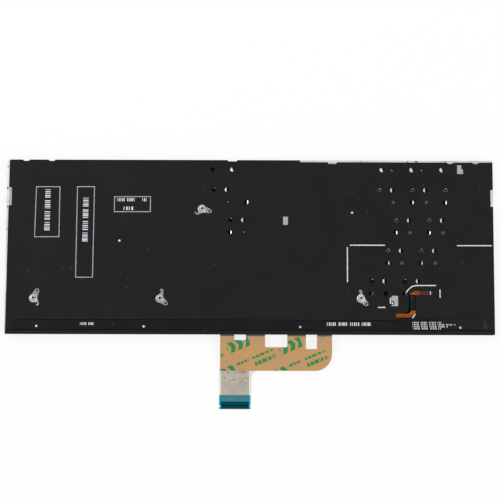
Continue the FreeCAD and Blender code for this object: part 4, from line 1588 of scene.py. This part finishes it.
def bar_row(start, end, height, pitch):
    """Outlines of a row of bars. A bar's width is a share of the pitch that steps by the golden ratio, and
    every sixth bar is left out."""
    start, end = np.array(start), np.array(end)
    length = np.linalg.norm(end - start)
    heading = (end - start) / length
    bars = []
    for i in range(int(length / pitch)):
        if i % 6 != 5:
            low = start + heading * pitch * i
            share = 0.3 + 0.4 * (i * 0.618 % 1)
            bars.append(stroke([low, low + heading * pitch * share], height))
    return bars


class KEYBOARD_OT_lines(bpy.types.Operator):
    """Pale frames, strokes, a curve and rows of bars printed on the film and the tape"""

    bl_idname = "keyboard.lines"
    bl_label = "Printed lines"

    def execute(self, context):
        width = length_of("line_width")
        parts = []
        outward = np.array([(-1, -1), (1, -1), (1, 1), (-1, 1)]) * width * frame_line_share
        for corners in printed_frames:
            loops = [np.array(corners) + outward], [np.array(corners) - outward]
            parts.append((sheet(*loops, back_z, ink_thickness), "faded_line"))
        for line in printed_strokes + [rounded_line(printed_curve)]:
            outline = stroke(line, width * stroke_share)
            parts.append((sheet([outline], [], back_z, ink_thickness), "printed_line"))
        printed = ((film_bars, back_z, ink_thickness), (tape_bars, tape_high[2], tape_ink_thickness))
        for rows, z, thickness in printed:
            bars = [bar for row in rows for bar in bar_row(*row)]
            parts.append((sheet(bars, [], z, thickness), "printed_line"))
        add_piece("printed_lines", parts, "root", "black_film")
        return {"FINISHED"}


class KEYBOARD_OT_tape(bpy.types.Operator):
    """Black strip along the bottom edge, its glossy patch and the groove beside it"""

    bl_idname = "keyboard.tape"
    bl_label = "Bottom tape"

    def execute(self, context):
        low, high = tape_low, tape_high
        step_x, side_y = tape_step
        r = (side_y - low[1]) / 2
        end = arc(low[0] + r, low[1] + r, r, 90, 270, 16)
        corners = [(high[0], low[1]), (high[0], high[1]), (step_x, high[1]), (step_x, side_y)]
        holes = [circle(x, y, pin_hole_radius, 20) for x, y in pin_places if y < side_y]
        strip = slab([np.concatenate([end, corners])], holes, low, high)
        add_piece("bottom_tape_strip", [(strip, "black_tape")], "root", "black_tape", "bottom_tape")
        patch = round_box(step_x + patch_start, high[0] - 0.3, low[1] + 0.4, high[1] - 0.5, 0.5)
        over = sheet([patch], [circle(*pin_places[-1], pin_hole_radius, 20)], high[2], patch_thickness)
        grooves = [box(*long_groove), box(low[0] + groove_start, step_x, side_y, side_y + groove_width)]
        groove = sheet(grooves, [], back_z, groove_thickness)
        add_piece("glossy_tape_patch", [(over, "glossy_tape"), (groove, "deep_black")], "root", "black_tape")
        return {"FINISHED"}


class KEYBOARD_OT_flex(bpy.types.Operator):
    """Amber circuit that feeds the backlight, with its black cover, strips of painted shadow beside the cover
    and in its corner, and end tapes
    """

    bl_idname = "keyboard.flex"
    bl_label = "Backlight flex"

    def execute(self, context):
        z, t = flex_low[2], flex_high[2] - flex_low[2]
        shade, mark = t * flex_shade_share, t + flex_mark_rise
        # The deep black strips beside the cover and the corner piece are painted shadow
        corner_shadow = np.concatenate([flex_corner_shadow[:1], arc(*flex_corner_shadow_arc, 270, 360, 8), flex_corner_shadow[1:]])
        shapes = [
            (np.array(flex_lower), t, "polyimide"), (np.array(flex_upper), t, "polyimide"),
            (round_box(*flex_dark), t, "dark_flex"), (box(*flex_cover), t, "black_tape"),
            (box(*flex_shades[0]), shade, "deep_black"), (box(*flex_shades[1]), shade, "deep_black"),
            (corner_shadow, shade, "deep_black"), (stroke(flex_stroke, flex_stroke_width), mark, "printed_line"),
            (box(*flex_bar), mark, "printed_line"), (box(*flex_red), t, "red_end"),
        ]
        parts = [(sheet([outline], [], z, height), finish) for outline, height, finish in shapes]
        add_piece("backlight_flex_strip", parts, "root", "polyimide", "backlight_flex")
        return {"FINISHED"}


def threaded_sleeve(boss):
    """Turned sleeve as one ring: up its outside, over a chamfered top, down a bore whose radius swings with a
    triangle wave of height and turn, which makes the thread, and back under the shank."""
    steps = 36
    base, top = guide_low[2], back_z + flange_thickness + sleeve_height
    turn = np.arange(steps) / steps
    bore_z = np.linspace(top - 0.25, back_z + 0.05, 40)
    phase = bore_z[:, None] / length_of("thread_pitch") - turn
    wave = np.abs(2 * (phase - np.floor(phase + 0.5)))
    bore = bore_radius - thread_depth * wave
    outer_z = [base, top - 0.15, top, top, top - 0.1]
    outer_r = [shank_radius, sleeve_radius, sleeve_radius - 0.12, bore_radius + 0.25, bore_radius + 0.15]
    shell = np.repeat(np.array(outer_r)[:, None], steps, axis=1)
    radii = np.concatenate([shell, bore, np.full((1, steps), bore_radius)])
    return revolved(radii, np.concatenate([outer_z, bore_z, [base]]), *boss["at"], steps, closed=True)


def drawn_cup(boss):
    """Drawn ring round the sleeve, set a little lower: a rolled shoulder, then a groove that stays dark."""
    x, y = boss["at"]
    radii, heights = np.array(cup_profile).T
    return revolved(radii, back_z + heights, x, y + cup_shift, 36, closed=True)


def boss_flange(boss):
    """Stamped foot: a disc under the cup, drawn out to the eyelet."""
    x, y = boss["at"]
    middle = (x, y + cup_shift)
    solids = [circle(*middle, cup_radius + 0.15, 40)]
    solids.append(link(middle, cup_radius * 0.95, boss["eyelet"], eyelet_radius))
    solids.append(link(middle, cup_radius * 0.9, boss["claw"][1], claw_root_radius))
    holes = [circle(*boss["at"], shank_radius, 30), circle(*boss["eyelet"], eyelet_hole, 18)]
    return sheet(solids, holes, back_z, flange_thickness)


def eyelet_rim(boss):
    """Round bead about the eyelet's hole."""
    return bead(*eyelet_bead, *boss["eyelet"], back_z + flange_thickness, 24, 10)


def rounded_line(points, rounds=3):
    """A line with its corners cut again and again: each round keeps a quarter and three quarters of every
    stretch, and both ends stay."""
    points = np.asarray(points, float)
    for i in range(rounds):
        quarter = points[:-1] * 0.75 + points[1:] * 0.25
        three = points[:-1] * 0.25 + points[1:] * 0.75
        middle = np.stack([quarter, three], axis=1).reshape(-1, points.shape[1])
        points = np.concatenate([points[:1], middle, points[-1:]])
    return points


def spring_claw(boss):
    """Flat claw that leaves the cup, narrows as it curls and dips to the film at its end."""
    line = rounded_line(boss["claw"])
    share = np.linspace(0, 1, len(line))
    heading = headings(line)
    half_width = claw_half_width - claw_taper * share ** 0.65
    side = np.stack([-heading[:, 1], heading[:, 0]], axis=-1) * half_width[:, None]
    low = back_z + claw_gap + claw_arch * np.sin(np.pi * share)
    high = low + claw_thickness
    rings = [(line + side, low), (line - side, low), (line - side * 0.8, high), (line + side * 0.8, high)]
    return skin(np.stack([np.column_stack([xy, z]) for xy, z in rings], axis=1))


def claw_ball(boss):
    """Rounded end of the claw."""
    lift = np.radians(np.linspace(-80, 80, 9))
    heights = back_z + ball_radius + ball_half_height * np.sin(lift)
    return revolved(ball_radius * np.cos(lift), heights, *boss["claw"][-1], 16)


class KEYBOARD_OT_bosses(bpy.types.Operator):
    """Four screw bosses: threaded sleeve in a drawn cup, flange, eyelet and claw"""

    bl_idname = "keyboard.bosses"
    bl_label = "Screw bosses"

    def execute(self, context):
        parts = []
        for boss in bosses:
            parts += [(threaded_sleeve(boss), "bright_steel"), (drawn_cup(boss), "bright_steel")]
            for shape in (boss_flange(boss), eyelet_rim(boss), spring_claw(boss), claw_ball(boss)):
                parts.append((shape, "plated_steel"))
        add_piece("screw_boss_set", parts, "root", "plated_steel", "screw_bosses")
        return {"FINISHED"}


class KEYBOARD_OT_pins(bpy.types.Operator):
    """Rivet heads that show in the small holes of the film"""

    bl_idname = "keyboard.pins"
    bl_label = "Rivet heads"

    def execute(self, context):
        heads = [turned_head(pin_profile, x, y, plate_high[2], pin_radius) for x, y in pin_places]
        parts = [(head, "bright_steel") for head in heads]
        add_piece("rivet_heads", parts, "root", "plated_steel")
        return {"FINISHED"}


class KEYBOARD_OT_marks(bpy.types.Operator):
    """Dark ticks along the bare metal edges, a painted highlight on the bare top edge, and the latch beside
    the lower window
    """

    bl_idname = "keyboard.marks"
    bl_label = "Edge marks"

    def execute(self, context):
        z = plate_high[2]
        deep, near = top_tick_inset
        ticks = [box(x, x + width, top_y - deep, top_y - near) for x, width in top_ticks]
        ticks += [box(*left_tick_x, y, y + depth) for y, depth in left_ticks]
        parts = [(sheet([tick], [], z, tick_thickness), "black_tape") for tick in ticks]
        # A thin brighter, glossier copy of the plate's metal over its bare top edge: a painted highlight
        rim = box(film_step_x + 0.5, edge_x - 0.4, top_y - film_step - 1.3, top_y - 0.06)
        parts.append((sheet([rim], [], z, highlight_thickness), "bright_steel"))
        add_piece("edge_ticks", parts, "root", "black_tape")
        tab = sheet([round_box(*latch_tab)], [], back_z, latch_thickness)
        ring = turned_head(latch_ring_profile, *latch_ring, back_z, steps=20)
        dot = turned_head(latch_dot_profile, *latch_dot, back_z, steps=14)
        latch = [(tab, "bright_steel"), (ring, "deep_black"), (dot, "bright_steel")]
        add_piece("window_latch", latch, "root", "plated_steel")
        return {"FINISHED"}


class KEYBOARD_OT_caps(bpy.types.Operator):
    """Key caps, one piece for each moving key and one for each fixed group"""

    bl_idname = "keyboard.caps"
    bl_label = "Key caps"

    def execute(self, context):
        for key in moving_keys():
            add_piece(key["name"] + "_cap", cap_parts(key), key["body"], "key_plastic", key["name"])
        for group in group_legends:
            parts = [part for key in fixed_keys(group) for part in cap_parts(key)]
            add_piece(group + "_caps", parts, "root", "key_plastic", group)
        return {"FINISHED"}


class KEYBOARD_OT_mechanisms(bpy.types.Operator):
    """Scissor frames and rubber domes"""

    bl_idname = "keyboard.mechanisms"
    bl_label = "Scissors and domes"

    def execute(self, context):
        nodes = ("scissor_outer_frames", "scissor_inner_frames", "rubber_domes")
        for key in moving_keys():
            thing = add_piece(key["name"] + "_scissor", mechanism_parts(key), "root", "frame_plastic", *nodes)
            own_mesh(thing)
        parts = [part for key in all_fixed_keys() for part in mechanism_parts(key)]
        add_piece("fixed_key_scissors", parts, "root", "frame_plastic", *nodes)
        return {"FINISHED"}


class KEYBOARD_OT_wire(bpy.types.Operator):
    """Bent wire that keeps the space bar level"""

    bl_idname = "keyboard.wire"
    bl_label = "Space bar wire"

    def execute(self, context):
        low, high = box_of("space_bar_wire")
        r, foot = wire_radius, wire_foot
        foot_y, bar_y = low[1] + r + wire_inset_y[0], high[1] - r - wire_inset_y[1]
        pivot_z, bar_z = high[2] - r - wire_inset_z[0], low[2] + r + wire_inset_z[1]
        x0, x1 = low[0] + r, high[0] - r
        corners = np.array([
            (x0 + foot, foot_y, pivot_z), (x0, foot_y, pivot_z), (x0, bar_y, bar_z),
            (x1, bar_y, bar_z), (x1, foot_y, pivot_z), (x1 - foot, foot_y, pivot_z),
        ])
        normal = np.cross(corners[1] - corners[0], corners[2] - corners[1])
        normal /= np.linalg.norm(normal)
        parts = [(swept(rounded_path(corners, wire_bend), normal, circle(0.0, 0.0, r, 12)), "wire_steel")]
        add_piece("space_bar_wire_bent", parts, "space_bar_wire", "wire_steel", "space_bar_wire")
        return {"FINISHED"}


def rounded_path(corners, radius, steps=6):
    """The corners joined by straight runs, each turn replaced by a quadratic curve that starts and ends one
    radius from the corner."""
    rows = [corners[:1]]
    share = np.linspace(0, 1, steps)[:, None]
    for before, corner, after in zip(corners, corners[1:], corners[2:]):
        a = corner + (before - corner) / np.linalg.norm(before - corner) * radius
        b = corner + (after - corner) / np.linalg.norm(after - corner) * radius
        rows.append(a * (1 - share) ** 2 + corner * 2 * share * (1 - share) + b * share ** 2)
    rows.append(corners[-1:])
    return np.concatenate(rows)


def area_light(name, place, size, power):
    """A soft rectangular lamp, in metres, turned to the object's middle."""
    data = bpy.data.lights.new(name, "AREA")
    data.shape = "RECTANGLE"
    data.size, data.size_y = size
    data.energy = power
    lamp = bpy.data.objects.new(name, data)
    lamp.location = place
    lamp.rotation_euler = (-Vector(place)).to_track_quat("-Z", "Y").to_euler()
    bpy.context.scene.collection.objects.link(lamp)


def make_world():
    """White to the camera and in reflections, and softer as a light."""
    world = bpy.data.worlds.new("studio")
    world.use_nodes = True
    tree = world.node_tree
    back = tree.nodes["Background"]
    back.inputs["Color"].default_value = colour_of("white")
    strength = math_node(tree, "MULTIPLY_ADD", seen_rays(tree), 1.0 - world_light, world_light)
    tree.links.new(strength, back.inputs["Strength"])
    bpy.context.scene.world = world


class KEYBOARD_OT_stage(bpy.types.Operator):
    """Pale floor, soft lamps and the camera at the photograph's angle"""

    bl_idname = "keyboard.stage"
    bl_label = "Stage and camera"

    def execute(self, context):
        corners = box(-floor_half, floor_half, -floor_half, floor_half)
        ground = np.column_stack([corners, np.full(4, floor_z)])
        floor = mesh_piece("floor", [((ground, [np.array([[0, 1, 2, 3]])]), "pale_floor")])
        make_world()
        for name, lamp in lamps.items():
            area_light(name, *lamp)
        right = Vector((1.0, 0.0, 0.0))
        up = Vector((0.0, math.cos(camera_tilt), math.sin(camera_tilt)))
        away = Vector((0.0, -math.sin(camera_tilt), math.cos(camera_tilt)))
        turned_right = right * math.cos(camera_roll) + up * math.sin(camera_roll)
        turned_up = up * math.cos(camera_roll) - right * math.sin(camera_roll)
        data = bpy.data.cameras.new("camera")
        data.lens = camera_lens
        data.clip_start = 0.01
        camera = bpy.data.objects.new("camera", data)
        place = (Vector(camera_target) + away * camera_distance) * mm
        turn = Matrix((turned_right, turned_up, away)).transposed().to_4x4()
        camera.matrix_world = Matrix.Translation(place) @ turn
        context.scene.collection.objects.link(camera)
        context.scene.camera = camera
        context.scene.view_settings.view_transform = "Standard"
        return {"FINISHED"}


build_steps = [
    KEYBOARD_OT_plate, KEYBOARD_OT_membrane, KEYBOARD_OT_liner, KEYBOARD_OT_stiffener, KEYBOARD_OT_guide,
    KEYBOARD_OT_film, KEYBOARD_OT_lines, KEYBOARD_OT_tape, KEYBOARD_OT_flex, KEYBOARD_OT_bosses,
    KEYBOARD_OT_pins, KEYBOARD_OT_marks, KEYBOARD_OT_caps, KEYBOARD_OT_mechanisms, KEYBOARD_OT_wire,
    KEYBOARD_OT_stage,
]


class KEYBOARD_PT_panel(bpy.types.Panel):
    """Sizes, colours and build steps of the keyboard module"""

    bl_label = "Keyboard"
    bl_idname = "KEYBOARD_PT_panel"
    bl_space_type = "VIEW_3D"
    bl_region_type = "UI"
    bl_category = "Keyboard"

    def draw(self, context):
        for group in (context.scene.keyboard_sizes, context.scene.keyboard_colours):
            for name in group.__annotations__:
                self.layout.prop(group, name)
        for step in build_steps:
            self.layout.operator(step.bl_idname)


classes = [KeyboardSizes, KeyboardColours] + build_steps + [KEYBOARD_PT_panel]


def register():
    for item in classes:
        bpy.utils.register_class(item)
    bpy.types.Scene.keyboard_sizes = PointerProperty(type=KeyboardSizes)
    bpy.types.Scene.keyboard_colours = PointerProperty(type=KeyboardColours)


def unregister():
    del bpy.types.Scene.keyboard_colours
    del bpy.types.Scene.keyboard_sizes
    for item in reversed(classes):
        bpy.utils.unregister_class(item)


def main():
    register()
    for step in build_steps:
        group, name = step.bl_idname.split(".")
        getattr(getattr(bpy.ops, group), name)()


if __name__ == "__main__":
    main()
